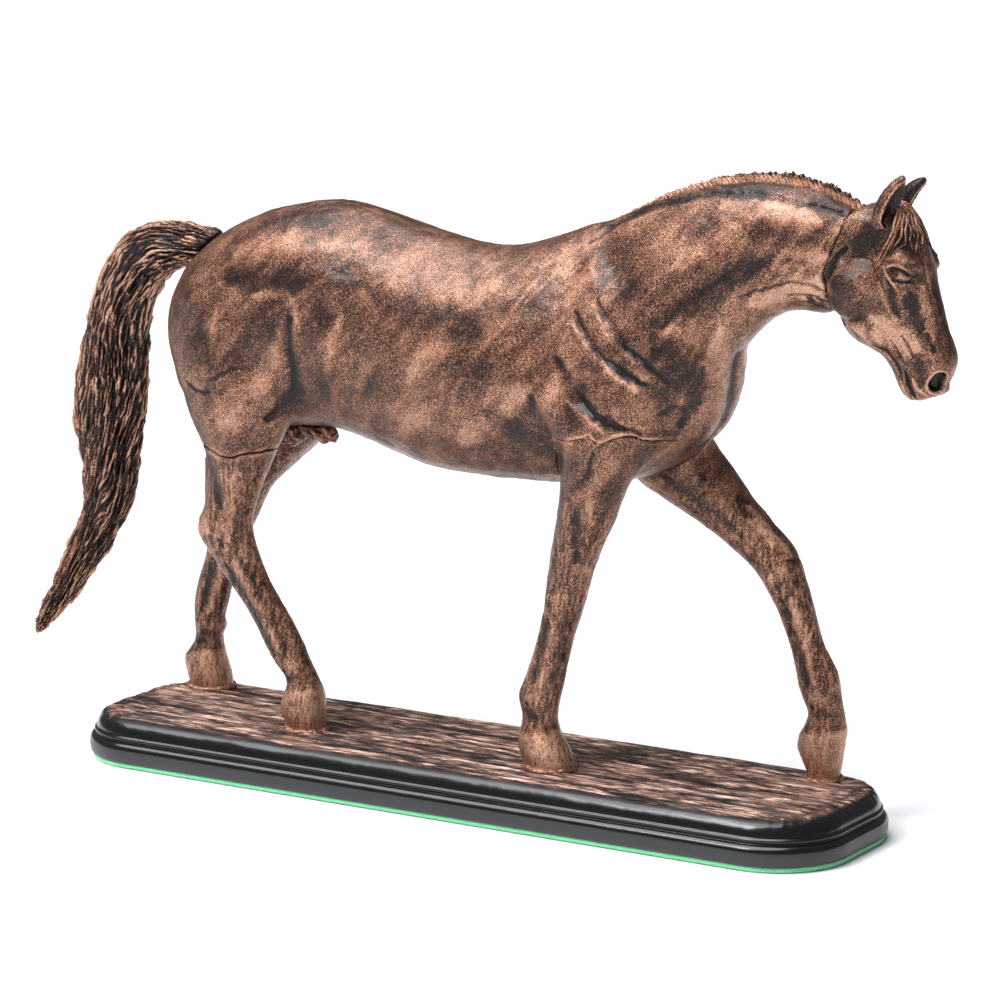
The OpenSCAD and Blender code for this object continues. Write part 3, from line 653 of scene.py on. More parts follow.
def lower_leg(skin, y, knee, fetlock, coronet):
    """Tendons, fetlock, pastern and hoof of one leg, from middles in XZ."""
    knee, fetlock = np.array(knee, float), np.array(fetlock, float)
    down = (fetlock - knee) / np.linalg.norm(fetlock - knee)
    front = np.array([-down[1], down[0]])
    # tendons and the bone before them, by how far in front of the leg's middle they run
    for ahead, radius, lift, tone in [
        (-1.4, 1.5, -0.7, -0.9), (-4.2, 1.0, 0.2, 0.2), (1.6, 1.7, 0.3, 0.9), (4.0, 1.2, 0.0, -0.6),
    ]:
        start, end = knee + 7 * down + ahead * front, fetlock - 5 * down + (ahead - 0.4) * front
        skin.limb(y, [start, (start + end) / 2 + 0.3 * front, end], radius, lift, tone)
    # knee, fetlock and pastern: a middle, how far down and ahead of it a line starts and ends
    for middle, start, end, radius, lift, tone in [
        (knee, (0, -3), (-2, 2), 2.4, 0.3, 0.6), (knee, (-4, -1.5), (4, -1), 1.4, -0.4, -0.5),
        (fetlock, (0, -2.6), (0, 2.6), 2.4, 0.3, 0.5), (fetlock, (1.5, -2.4), (2.4, -1.6), 1.1, -0.5, -0.9),
        (fetlock, (4, -1.5), (4.6, 2.4), 1.8, -0.4, -0.8),
    ]:
        line = [middle + place[0] * down + place[1] * front for place in (start, end)]
        skin.limb(y, line, radius, lift, tone)
    near = np.linalg.norm(skin.points[:, [0, 1]] - [coronet[0], y], axis=1) < 14
    height = skin.drawn[:, 2] - coronet[1] - 0.2 * (skin.points[:, 0] - coronet[0])
    skin.apply(near * smooth(0.6, -0.8, height) * smooth(-6, 2, height), 0.25, 0.0)
    skin.apply(near * smooth(0.5, -1.5, height), 0, 1.3)


def work_legs(skin):
    """Every feature of the legs."""
    skin.brush(1.2, 0.75, 0.8)
    lower_leg(skin, RIGHT, (37.6, 68), (29.4, 36), (30, 26.5))
    lower_leg(skin, LEFT_FORE + 0.5, (96.6, 76), (109, 39.4), (110, 30))
    lower_leg(skin, RIGHT, (-86, 72), (-62, 35), (-58, 28))
    lower_leg(skin, LEFT_HIND, (-105.4, 73), (-116.4, 35.6), (-117, 27))
    for row in LEG_STROKES:
        skin.limb(*row)
    # fine wrinkles across the right knee
    skin.brush(1, 1, 1)
    for k in range(9):
        x = 31.8 + 1.3 * k
        skin.limb(RIGHT, [(x, 61.5), (x + 2, 70)], 0.35, 0.14, 0.25)


def seam_hind(x):
    """Height of the wavy glued seam of a hind leg."""
    return np.interp(x, [-96, -89, -83, -79, -75, -70, -64], [103.4, 103, 100.8, 100.6, 102, 103, 104.2])


def seam_fore(x):
    """Height of the wavy glued seam of a fore leg."""
    heights = [118, 119.2, 120.4, 118, 120.4, 121.2, 119.2, 119]
    return np.interp(x, [44, 49, 52, 55, 60, 64, 68, 76], heights)


def seam_lips(skin):
    """The crack at the legs' seams, with a coppery ridge of glue at the elbows."""
    skin.brush(1, 1, 1)
    x, y, z = skin.drawn.T
    outward = smooth(0.0, 0.4, skin.sideways)
    hind = (x < GIRTH) * (z - seam_hind(x))
    span = smooth(44, 48, x) * smooth(72, 68, x)
    fore = z - seam_fore(x)
    skin.apply((x < GIRTH) * np.exp(-(hind / 0.4) ** 2) * outward, -0.12, -1.1)
    skin.apply((x < GIRTH) * np.exp(-((hind + 1.1) / 0.5) ** 2) * outward, 0.12, 0.35)
    skin.apply(span * np.exp(-((fore - 0.5) / 0.5) ** 2) * outward, 0.35, 0.9)
    skin.apply(span * np.exp(-((fore + 0.5) / 0.4) ** 2) * outward, -0.1, -0.9)
    skin.apply((x > 100) * (z > 150) * np.exp(-(head_space(x, y, z) / 0.6) ** 2), 0.0, -1.1)


def coat(skin, amount):
    """Tooled streaks, shallow dents and patches of wear all over."""
    points = skin.points
    on_leg = smooth(104, 94, points[:, 2]) * smooth(116, 112, points[:, 0])
    slanting = stretched(points, (1, 1.2), 2.6, 0.75, 11)
    upright = stretched(points, (0.12, 1), 3.2, 0.6, 12)
    dents = layered(points / 4.5, 21, 2)
    skin.lift += amount * (0.07 * slanting * (1 - on_leg) + 0.09 * upright * on_leg + 0.12 * dents)
    broad = layered(points / 12, 31, 2)
    swept = stretched(points, (1, 1.2), 14, 4.5, 61)
    brushed = stretched(points, (1, 1.2), 6, 1.4, 66)
    skin.tone += (1 - on_leg) * (0.35 * broad + 0.55 * swept + 0.25 * brushed)
    skin.tone += on_leg * (0.35 * broad + 0.7 * upright + 0.45 * stretched(points, (0.12, 1), 10, 1.5, 64))


# ---- cast pieces

def hind_space(x, y, z, side):
    """Below zero where a hind leg is cut from the trunk, on the left (1) or the right (-1)."""
    return np.maximum(np.maximum(z - seam_hind(x), x - GIRTH), -side * (y - CENTRE))


def fore_space(x, y, z, side):
    """Below zero where a fore leg is cut from the trunk."""
    back = np.interp(z, [-10, 98, 101, 119], [0, 20, 33, 39])
    breast = np.interp(z, [99, 120], [7.5, 12.5])
    return np.maximum(np.maximum(z - seam_fore(x), back - x), breast - side * (y - CENTRE))


def head_space(x, y, z):
    """Below zero where the head is cut from the neck."""
    return np.interp(z, [120, 160, 172, 184, 215], [124, 121, 120, 124.5, 132]) - x + 0 * y


def drawn_box(node, margin):
    """The box of a CAD node in drawn millimetres, with a margin all round."""
    low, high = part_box(node)
    return (np.array(low) - MIDDLE) / MM - margin, (np.array(high) - MIDDLE) / MM + margin


def cast_piece(name, clay, step, wobble, amount):
    """Cuts one piece out of the clay, works its surface and makes it."""
    low, high = drawn_box(name, 2.5)
    low[2] = max(low[2], GROUND - 2)
    grid = clay.finer(low, high, step)
    x, y, z = grid.mesh_axes()
    spaces = {leg: (hind_space if "hind" in leg else fore_space)(x, y, z, 1 if "left" in leg else -1)
              for leg in LEGS}
    spaces["head"] = head_space(x, y, z)
    if name == "body":
        for space in spaces.values():
            grid.values = np.maximum(grid.values, HAIRLINE - space)
    else:
        grid.values = np.maximum(grid.values, spaces[name] + HAIRLINE)
    grid.values = np.maximum(grid.values, GROUND - SUNK - z).astype(np.float32)
    skin = Skin(grid, clay, wobble=wobble)
    work_trunk(skin)
    work_legs(skin)
    work_head(skin)
    seam_lips(skin)
    coat(skin, amount)
    finish_skin(name, skin, "bronze_patina")


# ---- hair

# The crest of the neck from the withers to the poll, in XZ.
CREST = np.array([
    (46, 182.8), (54, 186.2), (62, 189.8), (72, 193), (84, 195.6), (95, 196.6), (107, 196.6),
    (117, 194.2), (126, 190.6), (132, 187.6),
])


def along_line(line, share):
    """Point and direction on a line in the XZ plane, at a share of its length."""
    lengths = np.concatenate([[0], np.cumsum(np.linalg.norm(np.diff(line, axis=0), axis=1))])
    spot = np.array([np.interp(share * lengths[-1], lengths, line[:, k]) for k in (0, 1)])
    ahead = np.array([np.interp(share * lengths[-1] + 1, lengths, line[:, k]) for k in (0, 1)])
    way = ahead - spot
    if np.linalg.norm(way) < 1e-6:
        way = line[-1] - line[-2]
    return spot, way / np.linalg.norm(way)


def mane(clay):
    """Short upright mane of fine teeth that lean back and almost touch."""
    rng = np.random.default_rng(5)
    grid = empty_grid((40, 2, 178), (136, 10, 203), 0.24)
    count = 84
    for i in range(count):
        share = i / (count - 1)
        (x, z), way = along_line(CREST, share)
        up = np.array([-way[1], way[0]])
        rise = np.interp(share, [0, 0.18, 0.5, 0.85, 1], [-1.4, -0.2, 1.6, 2.4, 1.4])
        rise *= rng.uniform(0.8, 1.2)
        foot = np.array([x, z]) - 1.8 * up + 1.7 * way
        tip = np.array([x, z]) + rise * up - (0.9 * rise + rng.uniform(-0.2, 0.2)) * way
        for side in (-1, 0, 1):
            top = tip + rng.uniform(-0.3, 0.3, 2)
            start = (foot[0], CENTRE + 1.3 * side, foot[1])
            round_bar(grid, start, (top[0], CENTRE + 0.8 * side, top[1]), 0.62, 0.4)
    seat(grid, clay, 0.5)
    skin = Skin(grid, grid, 0.3)
    height = clay.at(skin.points)
    cuts = stretched(skin.points, (-0.5, 1), 2.5, 0.45, 19)
    skin.tone += 0.9 * smooth(-0.4, 0.5, height) - 1.5 * smooth(1.2, 2.3, height) + 0.9 * cuts
    finish_skin("mane", skin, "bronze_hair", fine=5)


# The middle of the tail from the dock to its tip, in XZ.
TAIL_LINE = np.array([
    (-92, 163), (-107, 163), (-119, 161.6), (-127, 157), (-133, 149.6), (-137, 141), (-139.6, 131),
    (-141.6, 119), (-143, 107), (-143.2, 96), (-142.8, 86), (-144.4, 76), (-149, 66), (-156, 55),
    (-163, 44), (-170, 34), (-176, 26.4),
], float)


def tail_frame(points):
    """How far along the tail each point lies in mm, and the angle round it."""
    places = points[:, [0, 2]]
    _, run, stretch = nearest(places, TAIL_LINE)
    way = np.diff(TAIL_LINE, axis=0)
    way /= np.linalg.norm(way, axis=1, keepdims=True)
    x, z = (places - TAIL_LINE[stretch]).T
    across = z * way[stretch, 0] - x * way[stretch, 1]
    return run, np.arctan2(points[:, 1] - CENTRE, across)


def tail(clay):
    """Thick tail of locks and fine wavy strands, which twist across its waist."""
    coarse, low, high = cad_grid("tail", 4, 0.7, 10, 1.2)
    grid = coarse.finer(low - 3, high + 3, 0.3)
    seat(grid, clay, 0.6)
    skin = Skin(grid, coarse)
    run, turn = tail_frame(skin.points)
    twist = 1.3 * smooth(75, 135, run)
    sway = 0.35 * noise(np.stack([run / 30, np.cos(turn) * 1.2, np.sin(turn) * 1.2], axis=1), 3)
    round_it = (turn + twist + sway) % (2 * math.pi)
    flat = np.stack([run, round_it * 9, 0 * run], axis=1)
    locks = stretched(flat, (1, 0.14), 26, 2.4, 4)
    strands = stretched(flat, (1, 0.12), 13, 0.56, 5)
    hairs = stretched(flat, (1, -0.12), 8, 0.42, 6)
    fullness = smooth(2, 16, run) * smooth(0, 14, 192 - run)
    skin.lift += fullness * (0.7 * locks + 0.8 * strands + 0.4 * hairs)
    skin.tone += -1.0 + 2.3 * strands + 1.5 * hairs + 0.4 * locks
    patches = [(12, 12, -0.4), (50, 13, 0.9), (66, 8, -0.7), (84, 7, 0.5), (128, 18, -0.4), (192, 14, 0.9)]
    for place, length, tone in patches:
        skin.tone += tone * np.exp(-((run - place) / length) ** 2) * smooth(-0.6, 0.4, locks)
    finish_skin("tail", skin, "bronze_hair", fine=6)


def settled(clay, points, height):
    """Points moved onto the horse's surface, that far above it."""
    points = np.array(points, float)
    for _ in range(6):
        points = points - clay.slope(points) * (clay.at(points) - height)[:, None]
    return points


def forelock(clay):
    """Wavy strands that fan out from between the ears."""
    rng = np.random.default_rng(9)
    grid = empty_grid((130, -7, 166), (157, 19, 199), 0.2)
    count = 70
    for i in range(count):
        spread = (i / (count - 1) - 0.5) * 2 + rng.uniform(-0.06, 0.06)
        side = math.copysign(abs(spread) ** 0.85, spread)
        length = rng.uniform(0.55, 1.08)
        start = np.array([140 + rng.uniform(-2, 1), CENTRE + 3 * side, 192.6])
        bulge = np.array([147.5 - 4 * abs(side), CENTRE + 5.5 * side, 190 - 1.5 * abs(side)])
        end = np.array([149.5 - 13.5 * abs(side) ** 1.3, CENTRE + 10 * side, 181.5 - 6 * abs(side)])
        share = np.linspace(0, length, 9)[:, None]
        path = start * (1 - share) ** 2 + 2 * bulge * share * (1 - share) + end * share**2
        path[:, 1] += 0.6 * np.sin(share[:, 0] * 15 + rng.uniform(0, 6))
        path = settled(clay, path, 0.3)
        path += clay.slope(path) * (rng.uniform(0.0, 1.3) * np.linspace(1.2, 0.3, 9))[:, None]
        thick = rng.uniform(0.38, 0.52) * np.linspace(1, 0.55, 9)
        for k in range(8):
            round_bar(grid, path[k], path[k + 1], thick[k], thick[k + 1])
    seat(grid, clay, 0.4)
    skin = Skin(grid, grid, 0.3)
    points = skin.points
    skin.tone += -1.2 + 2.2 * smooth(0.3, 1.5, clay.at(points)) + 0.9 * noise(points / 1.2, 14)
    finish_skin("forelock", skin, "bronze_hair", fine=5)


def ear(name, side, clay):
    """Leaf-shaped ear with a deep hollow that opens forward and a little outward."""
    outer, hollow = (empty_grid((130, -7, 183), (151, 19, 205), 0.2) for _ in range(2))
    lean = 1 if side > 0 else 0
    root = np.array([136.6, 0.4, 187.6])
    middle = np.array([139.6 + 0.5 * lean, 0.3, 194.4 - 0.4 * lean])
    tip = np.array([143.2 + 1.8 * lean, 1.2 - 0.8 * lean, 201.2 - 1.6 * lean])
    bend = 2 * middle - (root + tip) / 2

    def place(share, forward):
        x, y, z = root * (1 - share) ** 2 + 2 * bend * share * (1 - share) + tip * share**2
        y -= 0.3 * forward
        return (x + forward, 2 * CENTRE - y if side > 0 else y, z - 0.25 * forward)

    def thick(share):
        return 0.3 + 3.1 * math.sin(math.pi * (0.26 + 0.74 * share)) ** 0.7

    count = 14
    for k in range(count):
        a, b = k / count, (k + 1) / count
        round_bar(outer, place(a, 0), place(b, 0), thick(a), thick(b))
        if a > 0.1:
            round_bar(hollow, place(a, 3.3), place(b, 3.3), thick(a) - 0.2, thick(b) - 0.2)
    outer.values = np.maximum(outer.blurred(0.15), -hollow.blurred(0.1))
    seat(outer, clay, 0.5)
    skin = Skin(outer, outer, 0.3)
    points = skin.points
    depth = hollow.at(points)
    within = smooth(0.3, 0.05, depth)
    rim = np.exp(-((depth - 0.55) / 0.35) ** 2)
    inner = smooth(0.2, 0.6, skin.out[:, 1] * -side)
    # The faces turned toward the middle are darkened: dark patina with painted shade on it.
    skin.tone += -0.1 - 4.0 * within + 1.3 * rim - 3.0 * inner * (1 - rim)
    skin.tone += 0.7 * stretched(points, (0.3, 1), 2.5, 0.5, 17)
    skin.lift += 0.06 * stretched(points, (0.3, 1), 2.5, 0.5, 18)
    finish_skin(name, skin, "bronze_patina", fine=6)


def sheath():
    """Sheath with rings of soft folds."""
    coarse, low, high = cad_grid("sheath", 3, 0.5, 8, 0.6)
    skin = Skin(coarse.finer(low - 2, high + 2, 0.33), coarse)
    points = skin.points
    skin.lift += 0.4 * np.sin(points[:, 0] * 1.5 + points[:, 2] * 1.1 + noise(points / 3, 5))
    skin.lift += 0.35 * stretched(points, (1, -0.4), 3, 0.9, 7)
    skin.tone += 0.35 * layered(points / 2.4, 15)
    finish_skin("sheath", skin, "bronze_patina", fine=6)


def fillets(clay):
    """Beads of filler where the hooves meet the plinth."""
    grid = clay.finer(*drawn_box("hoof_fillets", 3), 0.3)
    z = grid.mesh_axes()[2]
    places = np.stack(np.meshgrid(*grid.axes(), indexing="ij"), axis=-1).reshape(-1, 3)
    rough = layered(places / 2.2, 23, 2).reshape(grid.values.shape)
    hoof = grid.values
    bead = np.sqrt(np.maximum(hoof, 0) ** 2 + (1.1 * (z - GROUND)) ** 2) - (1.15 + 0.45 * rough)
    grid.values = np.maximum(np.maximum(bead, -(hoof + 0.5)), GROUND - 0.35 - z).astype(np.float32)
    skin = Skin(grid, grid, 0.4)
    skin.tone += 0.5 * noise(skin.points / 1.4, 3)
    finish_skin("hoof_fillets", skin, "copper_filler", fine=5)


# ---- plinth and felt

# The plinth's edge from the bottom up: inset in mm from the widest moulding, share of the height.
EDGE = [
    (0.8, 0.0), (0.6, 0.012), (0.35, 0.04), (0.14, 0.09), (0.04, 0.15), (0.0, 0.22), (0.0, 0.3),
    (0.12, 0.36), (0.4, 0.41), (0.9, 0.45), (1.5, 0.475), (1.9, 0.485), (2.05, 0.5), (2.0, 0.515),
    (1.75, 0.53), (1.55, 0.55), (1.5, 0.575), (1.6, 0.6), (1.85, 0.615), (2.15, 0.625), (2.3, 0.64),
    (2.35, 0.66), (2.45, 0.7), (2.65, 0.75), (2.95, 0.8), (3.35, 0.85), (3.85, 0.9), (4.45, 0.94),
    (5.1, 0.968), (5.6, 0.985), (6.1, 1.0),
]
PLINTH_WIDTH = (PLINTH_HIGH.y - PLINTH_LOW.y) / MM
PLINTH_CORNER = 24.3
FELT_CORNER = 23.3


class Outline:
    """Oblong with round corners, as rows across it whose ends lie on it."""

    def __init__(self, half_length, half_width, corner, arc_steps, row_gap, column_gap):
        self.straight_x = half_length - corner
        self.straight_y = half_width - corner
        self.corner = corner
        angles = np.linspace(0, math.pi / 2, arc_steps + 1)
        rows = int(round(2 * self.straight_y / row_gap))
        middle = np.linspace(-self.straight_y, self.straight_y, rows + 1)
        self.row_angle = np.concatenate([-angles[:0:-1], np.zeros(rows + 1), angles[1:]])
        self.row_base = np.concatenate([
            np.full(arc_steps, -self.straight_y), middle, np.full(arc_steps, self.straight_y),
        ])
        self.columns = int(round(2 * half_length / column_gap)) + 1

    def grid(self):
        """Points of the flat top in plan, rows by columns."""
        y = self.row_base + self.corner * np.sin(self.row_angle)
        reach = self.straight_x + self.corner * np.cos(self.row_angle)
        share = np.linspace(-1, 1, self.columns)
        return share[None, :] * reach[:, None], np.repeat(y[:, None], self.columns, axis=1)

    def rim(self):
        """Rows and columns round the grid's rim, and the outward direction at each."""
        last, end = len(self.row_base) - 1, self.columns - 1
        row = [[0] * (end + 1), range(1, last + 1), [last] * end, range(last - 1, 0, -1)]
        column = [range(end + 1), [end] * last, range(end - 1, -1, -1), [0] * (last - 1)]
        row, column = np.concatenate(row), np.concatenate(column)
        side = 1 * (column == end) - (column == 0)
        angle = self.row_angle[row]
        out = np.stack([side * np.cos(angle), np.where(side, np.sin(angle), np.sign(angle))], axis=1)
        return row, column, out


def slab(outline, profile, z_low, height, top_lift):
    """Closed slab over an outline: the profile goes up its edge, and top_lift shapes its top."""
    x, y = outline.grid()
    rim_row, rim_column, out = outline.rim()
    rows, columns = x.shape
    z_high = z_low + height * profile[-1][1]
    top = np.stack([x, y, z_high + top_lift(x, y)], axis=2).reshape(-1, 3)
    index = np.arange(rows * columns).reshape(rows, columns)
    a, b, c, d = index[:-1, :-1], index[:-1, 1:], index[1:, 1:], index[1:, :-1]
    top_faces = np.stack([a, b, c, d], axis=2).reshape(-1, 4)
    rim = index[rim_row, rim_column]
    edge = top[rim]
    inner = profile[-1][0]
    rings = []
    for inset, share in profile[-2:0:-1]:
        ring = edge.copy()
        ring[:, :2] += out * (inner - inset)
        ring[:, 2] = z_low + height * share + (edge[:, 2] - z_low - height) * smooth(0.78, 1, share)
        rings.append(ring)
    bottom = np.stack([x.ravel(), y.ravel(), np.full(x.size, z_low)], axis=1)
    bottom[rim, :2] += out * (inner - profile[0][0])
    points = np.concatenate([top] + rings + [bottom])
    size, count = rows * columns, len(rim)
    last = size + count * len(rings)
    faces = [top_faces, (top_faces + last)[:, ::-1]]
    levels = [rim] + [size + count * k + np.arange(count) for k in range(len(rings))] + [rim + last]
    for upper, lower in zip(levels[:-1], levels[1:]):
        faces.append(np.stack([upper, lower, np.roll(lower, -1), np.roll(upper, -1)], axis=1))
    return points, np.concatenate(faces)


def ribbed(x, y):
    """Wavy ridges along the plinth's top, with short cuts across its ends."""
    places = np.stack([x.ravel(), y.ravel(), 0 * x.ravel()], axis=1)
    warp = 1.1 * noise(places / [30, 16, 1], 71) + 0.35 * noise(places / [9, 5, 1], 70)
    slid = np.stack([0 * warp, warp, 0 * warp], axis=1)
    ridges = 0.5 * noise(places / [18, 0.85, 1] + slid, 72) + 0.25 * noise(places / [8, 0.6, 1] + slid, 73)
    ridges += 0.07 * layered(places / [5, 3, 1], 74, 2)
    middle = np.array([DRAWN_LENGTH / 2, PLINTH_WIDTH / 2]) - PLINTH_CORNER
    over = np.maximum(np.abs(places[:, :2]) - middle, 0)
    depth = PLINTH_CORNER - EDGE[-1][0] - np.hypot(over[:, 0], over[:, 1])
    past = np.abs(places[:, 0]) - middle[0]
    turn = np.arctan2(places[:, 1], past + 6)
    across = noise(np.stack([turn * 22, depth / 6, np.sign(places[:, 0])], axis=1), 75)
    at_end = smooth(6.5, 1.5, depth) * smooth(2, 11, past)
    fade = smooth(-0.4, 1.4, depth + 0.5)
    lift = ridges * (1 - at_end) + 0.45 * across * at_end
    return (lift * (fade + (0.5 - 0.5 * fade) * at_end)).reshape(x.shape)


def plinth():
    """Plinth with a moulded edge and a ribbed top, whose tone is 1 on the top and 0 on the edge."""
    half_length = DRAWN_LENGTH / 2 - EDGE[-1][0]
    half_width = PLINTH_WIDTH / 2 - EDGE[-1][0]
    outline = Outline(half_length, half_width, PLINTH_CORNER - EDGE[-1][0], 90, 0.3, 0.6)
    z_low = (PLINTH_LOW.z - MIDDLE[2]) / MM
    points, quads = slab(outline, EDGE, z_low, GROUND - z_low, ribbed)
    top = smooth(GROUND - 1.2, GROUND - 0.6, points[:, 2])
    relief = np.where(top > 0, points[:, 2] - GROUND, 0)
    build("plinth", points, quads, "plinth_black", top, relief)


def felt():
    """Felt pad with a slightly furry cut edge."""
    height = (FELT_HIGH.z - FELT_LOW.z) / MM
    half_length = (FELT_HIGH.x - FELT_LOW.x) / MM / 2
    half_width = (FELT_HIGH.y - FELT_LOW.y) / MM / 2
    profile = [(0.3, 0.0), (0.08, 0.12), (0.0, 0.3), (0.0, 0.6), (0.05, 0.85), (0.2, 1.0)]
    outline = Outline(half_length - 0.2, half_width - 0.2, FELT_CORNER - 0.2, 40, 1.5, 1.5)
    points, quads = slab(outline, profile, 0, height, lambda x, y: 0 * x)
    edge = smooth(0.1, 0.6, points[:, 2]) * smooth(height, height - 0.2, points[:, 2])
    out = points[:, :2] / np.linalg.norm(points[:, :2], axis=1, keepdims=True).clip(1)
    points[:, :2] += out * (0.14 * layered(points / 0.9, 33) * edge)[:, None]
    zero = np.zeros(len(points))
    piece = build("felt_pad", points, quads, "green_felt", zero, zero)


# ---- materials

class Shader:
    """Short ways to make the nodes of a material."""

    def __init__(self, name):
        self.material = bpy.data.materials.new(name)
        self.material.use_nodes = True
        self.tree = self.material.node_tree
        self.surface = self.tree.nodes["Principled BSDF"]
        self.place = self.node("ShaderNodeTexCoord").outputs["Object"]

    def node(self, kind, inputs=None, **settings):
        node = self.tree.nodes.new(kind)
        for key, value in settings.items():
            setattr(node, key, value)
        for key, value in (inputs or {}).items():
            self.join(value, node.inputs[key])
        return node

    def join(self, value, socket):
        if isinstance(value, bpy.types.NodeSocket):
            self.tree.links.new(value, socket)
        else:
            socket.default_value = value

    def set(self, **inputs):
        """Joins values to the sockets of the surface that have those names."""
        for key, value in inputs.items():
            self.join(value, self.surface.inputs[key.replace("_", " ")])

    def calc(self, operation, a, b, clamp=False):
        return self.node("ShaderNodeMath", {0: a, 1: b}, operation=operation, use_clamp=clamp).outputs[0]

    def line(self, value, slope, start, clamp=False):
        """slope times a value, plus start."""
        return self.calc("ADD", self.calc("MULTIPLY", value, slope), start, clamp)

    def swung(self, level, *parts):
        """A level that each pattern moves up and down by its share, kept from 0 to 1."""
        for pattern, share in parts:
            level = self.line(self.calc("SUBTRACT", pattern, 0.5), share, level)
        return self.calc("ADD", level, 0, clamp=True)

    def limited(self, value, slope, low, high):
        """slope times a value, kept between low and high."""
        return self.calc("MAXIMUM", self.calc("MINIMUM", self.calc("MULTIPLY", value, slope), high), low)

    def attribute(self, name):
        return self.node("ShaderNodeAttribute", attribute_name=name).outputs["Fac"]

    def turned(self, rotation, lengths):
        """Places for a pattern that is turned, and longer that many times along its own axes."""
        inputs = {"Vector": self.place, "Rotation": rotation, "Scale": lengths}
        return self.node("ShaderNodeMapping", inputs, vector_type="TEXTURE").outputs[0]

    def speckle(self, size_mm, detail=2.0, rough=0.6, place=None):
        """Noise of that size, from 0 to 1."""
        inputs = {"Vector": place or self.place, "Scale": 1 / (size_mm * MM)}
        inputs.update(Detail=detail, Roughness=rough)
        return self.node("ShaderNodeTexNoise", inputs).outputs["Fac"]

    def ramp(self, fac, stops):
        ramp = self.node("ShaderNodeValToRGB", {"Fac": fac})
        elements = ramp.color_ramp.elements
        while len(elements) < len(stops):
            elements.new(0.5)
        for element, (place, colour) in zip(elements, stops):
            element.position = place
            element.color = (*colour, 1)
        return ramp.outputs["Color"]

    def mixed(self, fac, a, b):
        node = self.node("ShaderNodeMix", data_type="RGBA")
        self.join(fac, node.inputs[0])
        self.join(a, node.inputs[6])
        self.join(b, node.inputs[7])
        return node.outputs[2]

    def bump(self, height, distance_mm):
        return self.node("ShaderNodeBump", {"Height": height, "Distance": distance_mm * MM}).outputs[0]


DARK = (0.008, 0.005, 0.006)
BROWN = (0.040, 0.020, 0.016)
COPPER_BROWN = (0.14, 0.064, 0.042)
COPPER = (0.45, 0.205, 0.115)
PALE_COPPER = (0.68, 0.42, 0.31)


def bronze(name, by_relief, by_tone, base, grainy=2.3):
    """Dark patina rubbed through to copper in fine grains, most where the surface stands proud."""
    s = Shader(name)
    grain = s.speckle(0.23, place=s.turned((0, math.radians(40), 0), (1.0, 1.0, 2.6)))
    fine = s.speckle(0.15, 1.0, 0.5)
    relief = s.limited(s.attribute("relief"), by_relief, -0.4, 0.3)
    tone = s.limited(s.attribute("tone"), by_tone, -0.38, 0.42)
    # wear takes in the tone attribute, so it also holds the painted highlight and painted shade put into
    # the tone.
    wear = s.swung(s.calc("ADD", s.calc("ADD", relief, tone), base), (grain, grainy), (fine, 0.8))
    stops = [(0.08, DARK), (0.30, BROWN), (0.48, COPPER_BROWN), (0.70, COPPER), (1.0, PALE_COPPER)]
    s.set(Base_Color=s.ramp(wear, stops), Roughness=s.line(grain, 0.2, 0.28))
    s.set(Metallic=s.line(wear, 0.8, 0.3, clamp=True))
    s.set(Specular_IOR_Level=0.15, Coat_Weight=0.34, Coat_Roughness=0.27)
    s.set(Normal=s.bump(s.line(fine, 0.5, grain), 0.2))
    return s.material


def gloss_edge(name):
    """Black gloss moulding over a matt lower band, and a ridged top rubbed with copper."""
    s = Shader(name)
    top = s.attribute("tone")
    streak = s.speckle(0.36, place=s.turned((0, 0, math.radians(1.5)), (15, 1, 1)))
    grain = s.speckle(0.3)
    patch = s.speckle(16, 2.0, 0.5, s.turned((0, 0, 0), (2, 1, 1)))
    rub = s.swung(s.line(s.attribute("relief"), 0.9, 0.44), (streak, 2.2), (grain, 0.7), (patch, 0.75))
    ribs = s.ramp(rub, [
        (0.16, (0.010, 0.008, 0.009)), (0.36, (0.040, 0.028, 0.026)), (0.52, (0.14, 0.074, 0.056)),
        (0.76, (0.36, 0.19, 0.13)), (1.0, (0.60, 0.42, 0.34)),
    ])
    lower = s.node("ShaderNodeSeparateXYZ", {0: s.place}).outputs["Z"]
    ends = {"Value": lower, "From Min": PLINTH_LOW.z + 4.6 * MM, "From Max": PLINTH_LOW.z + 4.2 * MM}
    band = s.node("ShaderNodeMapRange", ends).outputs["Result"]
    edge = s.mixed(band, (0.007, 0.007, 0.008, 1), (0.026, 0.026, 0.028, 1))
    matt = s.calc("MAXIMUM", s.calc("MULTIPLY", top, 0.3), s.calc("MULTIPLY", band, 0.22))
    wavy = s.speckle(2.2, 1.0, 0.5, s.turned((0, 0, 0), (2, 2, 1)))
    height = s.line(wavy, 0.5, s.calc("MULTIPLY", streak, top))
    s.set(Base_Color=s.mixed(top, edge, ribs), Metallic=s.calc("MULTIPLY", top, 0.45))
    s.set(Roughness=s.calc("ADD", matt, s.line(grain, 0.08, 0.14)))
    s.set(Normal=s.bump(s.line(grain, 0.08, height), 0.14))
    return s.material


def green_felt(name):
    """Pale green felt of short tangled fibres."""
    s = Shader(name)
    fibres = s.speckle(0.3, 4.0, 0.7, s.turned((0.5, 0.2, 0.9), (3, 1, 1)))
    fac = s.line(s.speckle(2.0, 3.0), 0.3, s.calc("MULTIPLY", fibres, 0.7))
    greens = [(0.3, (0.12, 0.62, 0.26)), (0.5, (0.24, 0.84, 0.42)), (0.7, (0.40, 0.90, 0.56))]
    s.set(Base_Color=s.ramp(fac, greens), Roughness=0.95, Sheen_Weight=0.5, Normal=s.bump(fibres, 0.3))
    return s.material


